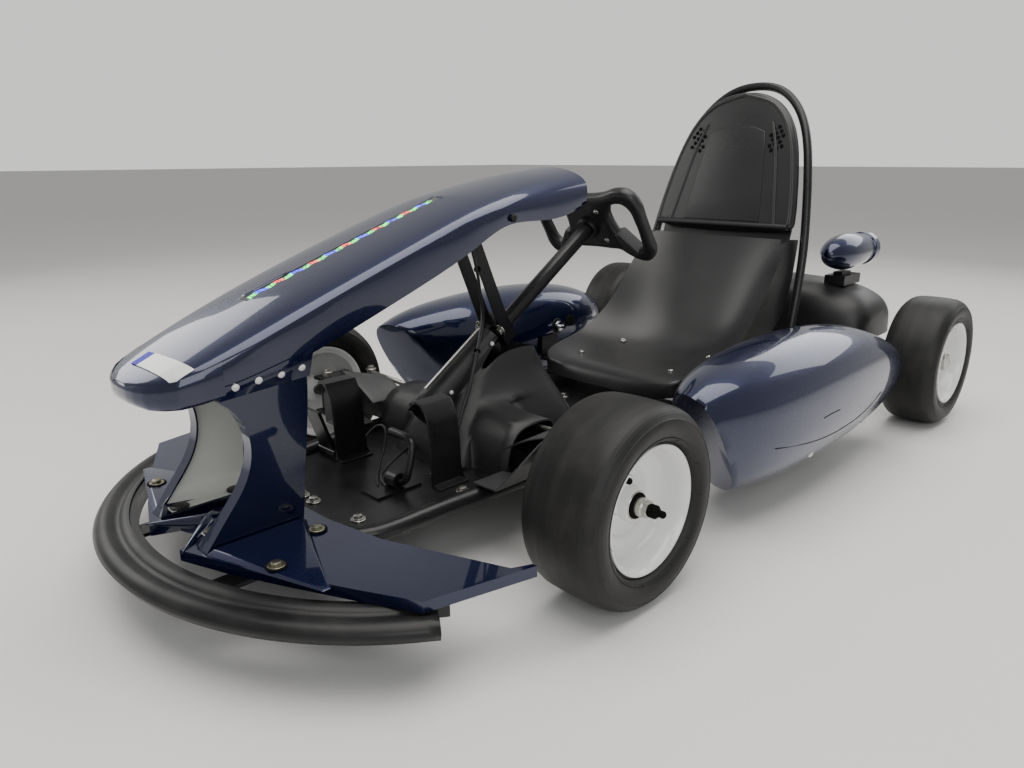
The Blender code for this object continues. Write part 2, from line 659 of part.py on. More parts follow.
def leg_mesh(side):
    bm = bmesh.new()
    front = [bm.verts.new((side * leg_x(z), y, z)) for y, z in leg_front]
    rest = [bm.verts.new((side * leg_x(z), y, z)) for y, z in leg_rest]
    bm.faces.new(front + rest)
    turned = [bm.verts.new((side * (leg_x(z) - 0.018), y, z)) for y, z in leg_front]
    for i in range(len(leg_front) - 1):
        bm.faces.new((front[i], front[i + 1], turned[i + 1], turned[i]))
    foot = [bm.verts.new((side * (leg_x(LEG_LOW) - 0.026), y, LEG_LOW)) for y in (-0.395, -0.272)]
    inner = [turned[0]]
    bm.faces.new((front[0], inner[0], foot[0], foot[1], rest[-1]))
    return bm


for side, label in ((1, "left"), (-1, "right")):
    leg = finish(f"hood_leg_{label}", leg_mesh(side), PAINT, angle=30)
    solidify(leg, 0.0025)

# Steering column post: a bored block that holds the column, on a post that stands on the floor
BLOCK_AT = 0.275
block_centre = HUB - SHAFT_DIR * BLOCK_AT


def tilted(bm, place, tilt=STEER_TILT):
    bmesh.ops.transform(bm, matrix=Matrix.Translation(place) @ Matrix.Rotation(tilt, 4, "X"), verts=bm.verts)
    return bm


POST_BACK = 0.150
block = tilted(box_mesh((-0.0185, -0.021, -0.014), (0.0185, 0.021, 0.014)), block_centre)
post = finish("column_post", block, STEEL_BLACK)
stem = box_mesh((-0.0100, POST_BACK - 0.016, FLOOR_TOP + GAP), (0.0100, POST_BACK, 0.254))
boolean(post, helper("post_stem", stem), "UNION")
post_bore = tilted(
    bm=cylinder_mesh((0, 0, -0.03), (0, 0, 0.03), SHAFT_RADIUS + PIN_GAP, 20), place=block_centre,
)
boolean(post, helper("post_bore", post_bore), "DIFFERENCE")

# Struts from the block up to the hood
for side, label in ((1, "left"), (-1, "right")):
    foot_y, foot_z = block_centre.y - 0.004, block_centre.z - 0.002
    head_y, head_z = 0.045, 0.4680 + hood_lift
    lean = Vector((head_y - foot_y, head_z - foot_z)).normalized()
    across = Vector((-lean.y, lean.x)) * 0.011
    start = Vector((foot_y, foot_z)) - lean * 0.012
    end = Vector((head_y, head_z))
    outline = [start + across, start - across, end - across * 0.9, end + across * 0.9]
    inner = side * (0.0185 + GAP)
    outer = side * (0.0185 + GAP + 0.004)
    shape = prism_mesh([tuple(point) for point in outline], "x", min(inner, outer), max(inner, outer))
    finish(f"steering_strut_{label}", shape, STEEL_BLACK)

# Steering column with its pitman arm
PITMAN_AT = 0.418
steer = finish(
    "steering_shaft",
    tilted(cylinder_mesh((0, 0, -0.462), (0, 0, -0.0145), SHAFT_RADIUS, 16), Vector((0, 0, 0))),
    STEEL_BLACK,
)
steer.location = HUB
pitman = tilted(
    box_mesh((-0.009, -0.004, -PITMAN_AT - 0.003), (0.009, PITMAN_LENGTH + 0.006, -PITMAN_AT + 0.003)), HUB,
)
boolean(steer, helper("pitman_arm", pitman), "UNION")

# Steering wheel, drawn in its own plane: x across, y down the plane, z towards the driver
wheel_half = (
    (0.0, -0.060), (0.045, -0.064), (0.080, -0.0735), (0.103, -0.069), (0.117, -0.050), (WHEEL_HALF_WIDTH, -0.015),
    (WHEEL_HALF_WIDTH, 0.020), (0.117, 0.052), (0.103, 0.0675), (0.082, 0.068), (0.058, 0.054), (0.030, 0.048), (0.0, 0.047),
)
wheel_outline = list(wheel_half) + [(-x, y) for x, y in reversed(wheel_half[1:-1])]
grip = finish("steering_wheel", tilted(prism_mesh(wheel_outline, "z", -0.012, 0.012), Vector((0, 0, 0))), PLASTIC)
grip.location = HUB
hole_half = (
    (0.052, -0.038), (0.082, -0.048), (0.095, -0.040), (0.101, -0.012), (0.101, 0.018), (0.096, 0.040), (0.086, 0.046),
    (0.062, 0.026), (0.046, 0.000),
)
for side, label in ((1, "left"), (-1, "right")):
    hole = tilted(prism_mesh([(side * x, y) for x, y in hole_half], "z", -0.03, 0.03), HUB)
    boolean(grip, helper(f"grip_hole_{label}", hole), "DIFFERENCE")
bevel(grip, 0.005, 1, 50)

# Tower cover: a moulded shell over the column's foot, with a tunnel on each side for beam and tie rod
COVER_LOW = FLOOR_TOP + GAP


def tower_rings(wall):
    inset = wall
    drop = 0.02 if wall else 0
    base = COVER_LOW - drop
    rings = []
    for z, half, front, back in (
        (base, 0.080, -0.030, 0.276), (0.110, 0.076, -0.022, 0.266), (0.160, 0.057, 0.005, 0.240),
        (0.205, 0.040, 0.050, 0.214), (0.240 + drop, 0.030, 0.098, 0.200),
    ):
        half -= inset
        front += inset
        back -= inset
        corner = min(0.018, half * 0.5)
        rings.append([
            (half, front + corner, z), (half, back - corner, z), (half - corner, back, z), (corner - half, back, z),
            (-half, back - corner, z), (-half, front + corner, z), (corner - half, front, z), (half - corner, front, z),
        ])
    return rings


TUNNEL_HALF = 0.149


def tunnel_outline(wall):
    low = COVER_LOW - (0.02 if wall else 0)
    return (
        (0.006 + wall, low), (0.110 - wall, low), (0.110 - wall, 0.150), (0.098, 0.164 - wall),
        (0.040, 0.164 - wall), (0.014 + wall, 0.142),
    )


def ridge_mesh(radius, top, bottom):
    return tilted(cylinder_mesh((0, 0, -bottom), (0, 0, -top), radius, 16), HUB)


cover = finish("tower_cover", loft_mesh(tower_rings(0)), PLASTIC, angle=50)
boolean(cover, helper("cover_ridge", ridge_mesh(0.0265, 0.300, 0.468)), "UNION")
boolean(cover, helper("cover_tunnel", prism_mesh(tunnel_outline(0), "x", -TUNNEL_HALF, TUNNEL_HALF)), "UNION")
boolean(cover, helper("cover_hollow", loft_mesh(tower_rings(0.0035))), "DIFFERENCE")
boolean(cover, helper("cover_ridge_bore", ridge_mesh(0.0232, 0.20, 0.60)), "DIFFERENCE")
boolean(cover, helper("cover_tunnel_bore", prism_mesh(tunnel_outline(0.0035), "x", -0.2, 0.2)), "DIFFERENCE")
cover_notch = box_mesh((-0.2, -0.3, -0.1), (0.2, 0.6, COVER_LOW))
boolean(cover, helper("cover_trim", cover_notch), "DIFFERENCE")

# Foot guards: bent plates between the driver's feet and the front tyres
for side, label in ((1, "left"), (-1, "right")):
    bm = bmesh.new()
    rows = ((0.152, BEAM_LOW + 0.001, -0.060, -0.004), (0.200, 0.112, -0.064, -0.002), (0.228, 0.150, -0.048, -0.002), (0.240, 0.178, -0.020, -0.004))
    made = []
    for x, z, front, back in rows:
        made.append([bm.verts.new((side * x, front, z)), bm.verts.new((side * x, back, z))])
    for first, second in zip(made, made[1:]):
        bm.faces.new((first[0], first[1], second[1], second[0]))
    guard = finish(f"foot_guard_{label}", bm, GREY)
    solidify(guard, 0.002, 0.0)

# Pedals and their toe hoops
for name, shift_x, shift_y in (("toe_hoop_left", 0.0, 0.0), ("toe_hoop_right", -0.182, -0.035)):
    route = (
        (0.112, FLOOR_TOP + GAP), (0.094, FLOOR_TOP + GAP), (0.0935, 0.150), (0.088, 0.186), (0.076, 0.204),
        (0.060, 0.206), (0.046, 0.190),
    )
    bm = bmesh.new()
    made = []
    for x, z in route:
        made.append([bm.verts.new((x + shift_x, shift_y - 0.084, z)), bm.verts.new((x + shift_x, shift_y - 0.030, z))])
    for first, second in zip(made, made[1:]):
        bm.faces.new((first[0], first[1], second[1], second[0]))
    bmesh.ops.recalc_face_normals(bm, faces=bm.faces)
    hoop = finish(name, bm, STEEL_BLACK)
    solidify(hoop, 0.0025, 0.0)
    hoop.location.z += 0.0014

PEDAL_PIVOT = Vector((0.060, -0.118, FLOOR_TOP + 0.0130))
bracket_low = FLOOR_TOP + GAP
bracket = finish("pedal_bracket", box_mesh((0.034, -0.160, bracket_low), (0.074, -0.086, bracket_low + 0.003)), STEEL_BLACK)
saddle = cylinder_mesh((0.046, PEDAL_PIVOT.y, PEDAL_PIVOT.z), (0.066, PEDAL_PIVOT.y, PEDAL_PIVOT.z), 0.0115, 16)
boolean(bracket, helper("pedal_saddle", saddle), "UNION")
saddle_bore = cylinder_mesh((0.02, PEDAL_PIVOT.y, PEDAL_PIVOT.z), (0.09, PEDAL_PIVOT.y, PEDAL_PIVOT.z), 0.0065, 16)
boolean(bracket, helper("saddle_bore", saddle_bore), "DIFFERENCE")
pedal_path = (
    (0.040, -0.118, PEDAL_PIVOT.z), (0.060, -0.118, PEDAL_PIVOT.z), (0.074, -0.118, PEDAL_PIVOT.z),
    (0.081, -0.117, PEDAL_PIVOT.z + 0.006), (0.082, -0.114, 0.120), (0.082, -0.106, 0.145), (0.079, -0.103, 0.158),
    (0.068, -0.102, 0.163), (0.046, -0.102, 0.163), (0.030, -0.102, 0.163),
)
tube("brake_pedal", pedal_path, 0.0058, STEEL_BLACK, 2, origin=PEDAL_PIVOT)

THROTTLE_PIVOT = Vector((-0.118, -0.112, FLOOR_TOP + 0.0080))
pad_outline = (
    (-0.112, FLOOR_TOP + 0.005), (-0.108, FLOOR_TOP + 0.012), (-0.120, 0.130), (-0.133, 0.168), (-0.138, 0.167),
    (-0.125, 0.129), (-0.116, FLOOR_TOP + 0.012),
)
throttle = finish("throttle_pedal", prism_mesh(pad_outline, "x", -0.137, -0.100), STEEL_BLACK, origin=THROTTLE_PIVOT)
barrel = cylinder_mesh((-0.140, -0.112, THROTTLE_PIVOT.z), (-0.097, -0.112, THROTTLE_PIVOT.z), 0.006, 12)
boolean(throttle, helper("throttle_barrel", barrel), "UNION")

# Seat shell, from the pan's front lip to the top of the back
seat_rows = (
    # y, z on the centreline, half width, side rise, side forward, skirt back, skirt down
    (0.396, 0.118, 0.116, 0.000, 0.010, 0.000, 0.000),
    (0.402, 0.142, 0.138, 0.000, 0.010, 0.002, 0.022),
    (0.425, 0.150, 0.158, 0.000, 0.004, 0.003, 0.026),
    (0.480, 0.142, 0.171, 0.016, 0.000, 0.000, 0.030),
    (0.560, 0.132, 0.174, 0.034, 0.000, 0.000, 0.034),
    (0.630, 0.134, 0.171, 0.062, -0.010, 0.050, 0.034),
    (0.690, 0.156, 0.169, 0.074, -0.026, 0.100, 0.014),
    (0.728, 0.205, 0.168, 0.056, -0.036, 0.096, 0.006),
    (0.758, 0.260, 0.168, 0.034, -0.040, 0.080, 0.002),
    (0.786, 0.315, 0.165, 0.014, -0.036, 0.062, 0.000),
    (0.808, 0.366, 0.160, 0.002, -0.024, 0.044, 0.000),
)
seat_rings = []
for y, z, half, rise, forward, back, down in seat_rows:
    ring = [(-half - 0.001, y + forward + back, z + rise - down - 0.002)]
    for step in range(-5, 6):
        across = step / 5
        bend = abs(across) ** 3.2
        ring.append((half * across, y + forward * bend, z + rise * bend))
    ring.append((half + 0.001, y + forward + back, z + rise - down - 0.002))
    seat_rings.append(ring)
seat = finish("seat_shell", loft_mesh(seat_rings, False, False, wrap=False), PLASTIC, angle=60)
solidify(seat, 0.004, 0.0)

# Headrest panel that closes the hoop, and the hoop
HEAD_LOW = Vector((0, 0.806, 0.3850))
HEAD_LEAN = math.radians(15.5)
head_half = (
    (0.0, 0.0), (0.156, 0.0), (0.158, 0.020), (0.152, 0.075), (0.142, 0.130), (0.129, 0.180), (0.111, 0.220), (0.087, 0.250),
    (0.057, 0.270), (0.029, 0.279), (0.0, 0.281),
)
head_outline = list(head_half) + [(-x, z) for x, z in reversed(head_half[1:-1])]
panel = prism_mesh(head_outline, "y", -0.012, 0.012)
bmesh.ops.transform(panel, matrix=Matrix.Translation(HEAD_LOW) @ Matrix.Rotation(-HEAD_LEAN, 4, "X"), verts=panel.verts)
bevel(finish("headrest_panel", panel, PLASTIC), 0.006, 2)
hoop_scale = HOOP_TOP / 0.672
hoop_half = (
    (0.184, 0.765, 0.1120), (0.185, 0.776, 0.170), (0.184, 0.796, 0.250), (0.180, 0.818, 0.340), (0.169, 0.838, 0.420),
    (0.154, 0.860, 0.500), (0.134, 0.882, 0.570), (0.102, 0.902, 0.625), (0.056, 0.915, 0.662),
)
hoop_points = [(x, y, z * hoop_scale) for x, y, z in hoop_half] + [(0, 0.920, HOOP_TOP)]
hoop_points = hoop_points + [(-x, y, z * hoop_scale) for x, y, z in reversed(hoop_half)]
hoop_path = smooth_path(hoop_points, 2)
hoop_path[0].z = RAIL_TOP + 0.0040
hoop_path[-1].z = RAIL_TOP + 0.0040
tube("seat_hoop", hoop_path, 0.0095, STEEL_BLACK)

# Side pods: hollow bodies, open underneath, with a scooped front
pod_stations = (
    # y at the top, y at the bottom, inner x, outer x, bottom z, top z, how far the outer side leads
    (0.166, 0.268, 0.282, 0.384, 0.052, 0.222, 0.036),
    (0.215, 0.305, 0.258, 0.404, 0.050, 0.240, 0.034),
    (0.300, 0.370, 0.243, 0.420, 0.049, 0.254, 0.020),
    (0.440, 0.460, 0.2395, 0.427, 0.049, 0.262, 0.0),
    (0.580, 0.580, 0.2395, 0.425, 0.051, 0.258, 0.0),
    (0.680, 0.680, 0.250, 0.418, 0.060, 0.242, 0.0),
    (0.760, 0.760, 0.284, 0.408, 0.080, 0.214, 0.0),
    (0.812, 0.812, 0.322, 0.398, 0.106, 0.186, 0.0),
    (0.828, 0.828, 0.346, 0.388, 0.130, 0.168, 0.0),
)


def pod_mesh(side):
    rings = []
    for top_y, low_y, inner, outer, low, high, lead in pod_stations:
        middle = (inner + outer) / 2
        ring = []
        for x, up, z in ring_points(inner, outer, low, high, lambda up: up):
            y = low_y + (top_y - low_y) * up - lead * (x - middle) / (outer - inner)
            ring.append((side * x, y, z))
        rings.append(ring)
    bm = loft_mesh(rings)
    floor_faces = []
    for face in bm.faces:
        middle = face.calc_center_median()
        face.normal_update()
        if abs(face.normal.z) > 0.8 and middle.z < 0.070 and 0.36 < middle.y < 0.66:
            floor_faces.append(face)
    bmesh.ops.delete(bm, geom=floor_faces, context="FACES")
    return bm


for side, label in ((1, "left"), (-1, "right")):
    pod = finish(f"side_pod_{label}", pod_mesh(side), PAINT, angle=60)
    solidify(pod, 0.003)

# Battery in the left pod, controller in the right one
finish("battery_pack", box_mesh((0.288, 0.400, 0.062), (0.378, 0.610, 0.190)), BATTERY)
controller = finish("motor_controller", box_mesh((-0.380, 0.420, 0.070), (-0.280, 0.560, 0.112)), ZINC)

# Key switch on the right pod's inner wall
key_profile = ((0, 0), (0, 0.011), (0.006, 0.010), (0.006, 0.004), (0.018, 0.004), (0.018, 0))
KEY_PLACE = Vector((-0.2390, 0.556, 0.1725))
finish("key_switch", lathe_mesh(key_profile, "x", KEY_PLACE, 16, closed=False), ZINC, origin=KEY_PLACE)

# Rear cover: an arched shell over motor and axle, open underneath, with two mounting blocks
cover_stations = (
    # x, front and rear edges behind the axle, top z
    (0.268, -0.024, 0.111, 0.205),
    (0.259, -0.047, 0.129, 0.232),
    (0.230, -0.063, 0.141, 0.252),
    (0.150, -0.071, 0.147, 0.268),
    (0.0, -0.073, 0.149, 0.274),
)
REAR_LOW = 0.150


def arch_ring(x, front, rear, top):
    middle = WHEELBASE + (front + rear) / 2
    half = (rear - front) / 2
    ring = [(x, middle - half, REAR_LOW)]
    for step in range(1, 8):
        angle = math.pi * step / 8
        c = math.cos(angle)
        s = math.sin(angle)
        ring.append((x, middle - math.copysign(abs(c) ** 0.7, c) * half, REAR_LOW + (top - REAR_LOW) * s ** 0.7))
    ring.append((x, middle + half, REAR_LOW))
    return ring


arch_rings = [arch_ring(x, front, rear, top) for x, front, rear, top in cover_stations]
arch_rings = arch_rings + [arch_ring(-x, front, rear, top) for x, front, rear, top in reversed(cover_stations[:-1])]


def rear_cover_mesh():
    bm = loft_mesh(arch_rings, False, False, wrap=False)
    bm.verts.ensure_lookup_table()
    count = len(arch_rings[0])
    bm.faces.new(bm.verts[:count])
    bm.faces.new(bm.verts[-count:])
    return bm


rear_cover = finish("rear_cover", rear_cover_mesh(), PLASTIC, angle=60)
solidify(rear_cover, 0.003)
TAIL_X = 0.180
TAIL_Z = 0.328
TAIL_RADIUS = 0.041
for side, label in ((1, "left"), (-1, "right")):
    mount = box_mesh((side * TAIL_X - 0.022, TAIL_Y - 0.040, 0.2585), (side * TAIL_X + 0.022, TAIL_Y + 0.045, 0.279))
    boolean(rear_cover, helper(f"tail_mount_{label}", mount), "UNION")
    neck_top = TAIL_Z - TAIL_RADIUS - 0.0012
    neck = box_mesh((side * TAIL_X - 0.010, TAIL_Y - 0.025, 0.270), (side * TAIL_X + 0.010, TAIL_Y + 0.020, neck_top))
    boolean(rear_cover, helper(f"tail_neck_{label}", neck), "UNION")

# Tail pods: pointed bodies open at the back
tail_profile = (
    (-0.095, 0), (-0.092, 0.010), (-0.080, 0.021), (-0.060, 0.031), (-0.030, 0.0385), (0.005, TAIL_RADIUS),
    (0.045, 0.0385), (0.080, 0.0340), (0.082, 0.0375), (0.105, 0.0375), (0.105, 0.0330), (0.040, 0.0300), (0.040, 0),
)
for side, label in ((1, "left"), (-1, "right")):
    place = (side * TAIL_X, TAIL_Y, TAIL_Z)
    finish(f"tail_pod_{label}", lathe_mesh(tail_profile, "y", place, 16, closed=False), PAINT, origin=place)

bpy.context.view_layer.update()
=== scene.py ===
import bpy
import json
import math
import random
from mathutils import Matrix, Vector

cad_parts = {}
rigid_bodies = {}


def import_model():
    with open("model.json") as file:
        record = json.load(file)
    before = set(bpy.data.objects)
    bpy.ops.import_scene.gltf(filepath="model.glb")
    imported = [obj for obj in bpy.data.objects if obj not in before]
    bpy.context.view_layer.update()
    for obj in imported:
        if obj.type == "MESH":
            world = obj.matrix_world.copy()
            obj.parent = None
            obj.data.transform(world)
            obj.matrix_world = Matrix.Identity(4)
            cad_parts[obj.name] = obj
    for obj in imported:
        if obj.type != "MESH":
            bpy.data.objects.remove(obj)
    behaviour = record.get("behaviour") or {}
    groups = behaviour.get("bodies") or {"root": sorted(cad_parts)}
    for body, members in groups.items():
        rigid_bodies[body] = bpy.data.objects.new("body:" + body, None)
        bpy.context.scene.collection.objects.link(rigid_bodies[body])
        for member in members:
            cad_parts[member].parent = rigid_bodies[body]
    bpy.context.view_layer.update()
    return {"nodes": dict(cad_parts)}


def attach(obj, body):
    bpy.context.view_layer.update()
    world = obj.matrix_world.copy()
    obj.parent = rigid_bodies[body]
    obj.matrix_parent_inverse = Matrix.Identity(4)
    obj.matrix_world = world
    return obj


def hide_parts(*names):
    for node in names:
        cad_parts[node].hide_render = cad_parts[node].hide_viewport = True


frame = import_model()
nodes = frame["nodes"]
shiftY = -0.3324  # the front axle line's y in the frame
random.seed(7)


def at(x, y, z):
    # a point given from the front axle line, in the frame
    return Vector((x, y + shiftY, z))


# small tools
def deselectAll():
    if bpy.context.mode != "OBJECT":
        bpy.ops.object.mode_set(mode="OBJECT")
    bpy.ops.object.select_all(action="DESELECT")


def pick(obj):
    deselectAll()
    obj.select_set(True)
    bpy.context.view_layer.objects.active = obj


def applyAll(obj):
    pick(obj)
    for modifier in list(obj.modifiers):
        bpy.ops.object.modifier_apply(modifier=modifier.name)


def placed(obj):
    pick(obj)
    bpy.ops.object.transform_apply(location=True, rotation=True, scale=True)
    return obj


def smooth(obj, degrees=40):
    pick(obj)
    bpy.ops.object.shade_smooth_by_angle(angle=math.radians(degrees))


def dress(obj, material):
    obj.data.materials.clear()
    obj.data.materials.append(material)


def joined(parts, name):
    deselectAll()
    for part in parts:
        part.select_set(True)
    bpy.context.view_layer.objects.active = parts[0]
    if len(parts) > 1:
        bpy.ops.object.join()
    parts[0].name = name
    return parts[0]


def turned(name, profile, material, steps=96, angle=35):
    # traces a profile of (along, radius) with extrudes and spins it about X
    deselectAll()
    bpy.ops.mesh.primitive_plane_add(size=0.01)
    obj = bpy.context.active_object
    obj.name = name
    bpy.ops.object.mode_set(mode="EDIT")
    bpy.ops.mesh.select_mode(type="VERT")
    bpy.ops.mesh.select_all(action="SELECT")
    bpy.ops.mesh.merge(type="CENTER")
    along, radius = profile[0]
    bpy.ops.transform.translate(value=(along, 0, radius))
    last = profile[0]
    for point in profile[1:]:
        step = (point[0] - last[0], 0, point[1] - last[1])
        bpy.ops.mesh.extrude_vertices_move(TRANSFORM_OT_translate={"value": step})
        last = point
    bpy.ops.mesh.select_all(action="SELECT")
    bpy.ops.mesh.spin(steps=steps, angle=2 * math.pi, center=(0, 0, 0), axis=(1, 0, 0))
    bpy.ops.mesh.select_all(action="SELECT")
    bpy.ops.mesh.remove_doubles(threshold=0.00002)
    bpy.ops.mesh.normals_make_consistent(inside=False)
    bpy.ops.object.mode_set(mode="OBJECT")
    dress(obj, material)
    smooth(obj, angle)
    return obj


def copied(obj, name, matrix):
    twin = obj.copy()
    twin.data = obj.data.copy()
    twin.name = name
    bpy.context.collection.objects.link(twin)
    twin.data.transform(matrix)
    if matrix.determinant() < 0:
        twin.data.flip_normals()
    return twin


def facing(direction, place):
    # turns a part that points along +X to point along direction
    turn = Vector((1, 0, 0)).rotation_difference(Vector(direction)).to_matrix().to_4x4()
    return Matrix.Translation(place) @ turn


def refined(node, name, levels, sharp, body, smoothAngle=40):
    # a finer skin over a CAD solid: merged, made quads, creased at its sharp edges and subdivided
    source = nodes[node]
    piece = source.copy()
    piece.data = source.data.copy()
    piece.name = name
    piece.parent = None
    bpy.context.collection.objects.link(piece)
    piece.matrix_world = Matrix.Identity(4)
    pick(piece)
    bpy.ops.object.mode_set(mode="EDIT")
    bpy.ops.mesh.select_all(action="SELECT")
    bpy.ops.mesh.remove_doubles(threshold=0.0002)
    bpy.ops.mesh.tris_convert_to_quads(face_threshold=math.radians(50), shape_threshold=math.radians(60))
    bpy.ops.mesh.select_mode(type="EDGE")
    bpy.ops.mesh.select_all(action="DESELECT")
    bpy.ops.mesh.edges_select_sharp(sharpness=math.radians(sharp))
    bpy.ops.transform.edge_crease(value=1.0)
    bpy.ops.object.mode_set(mode="OBJECT")
    grown = piece.modifiers.new("finer", "SUBSURF")
    grown.levels = levels
    grown.render_levels = levels
    applyAll(piece)
    smooth(piece, smoothAngle)
    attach(piece, body)
    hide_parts(node)
    return piece


def softEdges(node, width):
    # a live bevel on a CAD node keeps its place and shape
    obj = nodes[node]
    rounded = obj.modifiers.new("edges", "BEVEL")
    rounded.width = width
    rounded.segments = 2
    rounded.limit_method = "ANGLE"
    rounded.angle_limit = math.radians(35)


def cable(name, points, radius, material, body="chassis"):
    # a round cord or moulded ridge along a smooth line near the points
    deselectAll()
    line = bpy.data.curves.new(name, "CURVE")
    line.dimensions = "3D"
    line.bevel_depth = radius
    line.bevel_resolution = 2
    line.resolution_u = 6
    line.use_fill_caps = True
    spline = line.splines.new("NURBS")
    spline.points.add(len(points) - 1)
    for knot, place in zip(spline.points, points):
        knot.co = (*place, 1)
    spline.use_endpoint_u = True
    spline.order_u = 3
    obj = bpy.data.objects.new(name, line)
    bpy.context.collection.objects.link(obj)
    pick(obj)
    bpy.ops.object.convert(target="MESH")
    obj = bpy.context.active_object
    dress(obj, material)
    smooth(obj, 60)
    if body:
        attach(obj, body)
    return obj


# camera, light and floor
cameraFacts = {"place": (0.8755, -0.7150, 0.5293), "yaw": 44.72, "pitch": 16.19, "roll": -0.2, "lens": 27.5}


def makeCamera():
    yaw = math.radians(cameraFacts["yaw"])
    pitch = math.radians(cameraFacts["pitch"])
    roll = math.radians(cameraFacts["roll"])
    ahead = Vector((-math.sin(yaw) * math.cos(pitch), math.cos(yaw) * math.cos(pitch), -math.sin(pitch)))
    level = Vector((math.cos(yaw), math.sin(yaw), 0))
    up = level.cross(ahead)
    right = level * math.cos(roll) + up * math.sin(roll)
    top = up * math.cos(roll) - level * math.sin(roll)
    turn = Matrix((right, top, -ahead)).transposed().to_4x4()
    data = bpy.data.cameras.new("mainView")
    data.lens = cameraFacts["lens"]
    data.sensor_width = 36
    data.clip_start = 0.02
    eye = bpy.data.objects.new("mainView", data)
    eye.matrix_world = Matrix.Translation(at(*cameraFacts["place"])) @ turn
    bpy.context.collection.objects.link(eye)
    bpy.context.scene.camera = eye


makeCamera()
print("camera placed")

lampFacts = (
    # name, place, aimed at, size x, size y, watts, colour
    ("overhead", (0.3, 0.2, 2.6), (0, 0.2, 0.2), 3.2, 2.2, 74, (1.0, 0.98, 0.95)),
    ("window", (2.6, -1.6, 1.6), (0, 0.1, 0.3), 1.8, 1.6, 26, (0.95, 0.98, 1.0)),
    ("farSide", (-2.6, -0.6, 1.7), (0, 0.2, 0.3), 1.8, 1.4, 20, (1.0, 0.99, 0.97)),
    ("behind", (0.4, 3.0, 1.6), (0, 0.4, 0.3), 2.4, 1.2, 20, (1.0, 1.0, 1.0)),
)
for lampName, place, aim, sizeX, sizeY, watts, colour in lampFacts:
    lampData = bpy.data.lights.new(lampName, "AREA")
    lampData.shape = "RECTANGLE"
    lampData.size = sizeX
    lampData.size_y = sizeY
    lampData.energy = watts
    lampData.color = colour
    lamp = bpy.data.objects.new(lampName, lampData)
    lamp.location = at(*place)
    lamp.rotation_euler = (at(*aim) - at(*place)).to_track_quat("-Z", "Y").to_euler()
    bpy.context.collection.objects.link(lamp)

world = bpy.data.worlds.new("studio")
bpy.context.scene.world = world
world.use_nodes = True
backdrop = world.node_tree.nodes["Background"]
backdrop.inputs["Color"].default_value = (0.93, 0.925, 0.91, 1)
seen = world.node_tree.nodes.new("ShaderNodeLightPath")
lift = world.node_tree.nodes.new("ShaderNodeMath")
lift.operation = "MULTIPLY_ADD"
world.node_tree.links.new(seen.outputs["Is Camera Ray"], lift.inputs[0])
lift.inputs[1].default_value = 0.55  # the background is brighter in view than as a light
lift.inputs[2].default_value = 0.46
world.node_tree.links.new(lift.outputs[0], backdrop.inputs["Strength"])

# shader groups that several finishes share
def newGroup(name, inputs, outputs):
    group = bpy.data.node_groups.new(name, "ShaderNodeTree")
    for label, kind, value in inputs:
        socket = group.interface.new_socket(name=label, in_out="INPUT", socket_type=kind)
        if value is not None:
            socket.default_value = value
    for label, kind in outputs:
        group.interface.new_socket(name=label, in_out="OUTPUT", socket_type=kind)
    start = group.nodes.new("NodeGroupInput")
    end = group.nodes.new("NodeGroupOutput")
    return group, start, end


def wire(tree, source, target):
    tree.links.new(source, target)


def addNoise(tree, vector, scale, detail=3.0, rough=0.55):
    noise = tree.nodes.new("ShaderNodeTexNoise")
    noise.inputs["Detail"].default_value = detail
    noise.inputs["Roughness"].default_value = rough
    if isinstance(scale, (int, float)):
        noise.inputs["Scale"].default_value = scale
    else:
        tree.links.new(scale, noise.inputs["Scale"])
    tree.links.new(vector, noise.inputs["Vector"])
    return noise


def addMath(tree, kind, a, b=None, clamp=False):
    node = tree.nodes.new("ShaderNodeMath")
    node.operation = kind
    node.use_clamp = clamp
    for index, value in enumerate((a, b)):
        if value is None:
            continue
        if isinstance(value, (int, float)):
            node.inputs[index].default_value = value
        else:
            tree.links.new(value, node.inputs[index])
    return node.outputs[0]


def addRange(tree, value, low, high, outLow, outHigh):
    node = tree.nodes.new("ShaderNodeMapRange")
    for label, number in (("From Min", low), ("From Max", high), ("To Min", outLow), ("To Max", outHigh)):
        if isinstance(number, (int, float)):
            node.inputs[label].default_value = number
        else:
            tree.links.new(number, node.inputs[label])
    tree.links.new(value, node.inputs["Value"])
    return node.outputs["Result"]


def addMix(tree, mask, first, second):
    node = tree.nodes.new("ShaderNodeMix")
    node.data_type = "RGBA"
    if isinstance(mask, (int, float)):
        node.inputs["Factor"].default_value = mask
    else:
        tree.links.new(mask, node.inputs["Factor"])
    for socket, value in ((node.inputs["A"], first), (node.inputs["B"], second)):
        if isinstance(value, tuple):
            socket.default_value = (*value, 1) if len(value) == 3 else value
        else:
            tree.links.new(value, socket)
    return node.outputs["Result"]


def makeGrain():
    # fine surface texture: a height and a slow roughness change
    group, start, end = newGroup(
        "surfaceGrain",
        [("Vector", "NodeSocketVector", None), ("Scale", "NodeSocketFloat", 900.0), ("Patches", "NodeSocketFloat", 9.0)],
        [("Height", "NodeSocketFloat"), ("Patch", "NodeSocketFloat")],
    )
    fine = addNoise(group, start.outputs["Vector"], start.outputs["Scale"], 3.0, 0.6)
    slow = addNoise(group, start.outputs["Vector"], start.outputs["Patches"], 4.0, 0.6)
    wire(group, fine.outputs["Fac"], end.inputs["Height"])
    wire(group, slow.outputs["Fac"], end.inputs["Patch"])
    return group


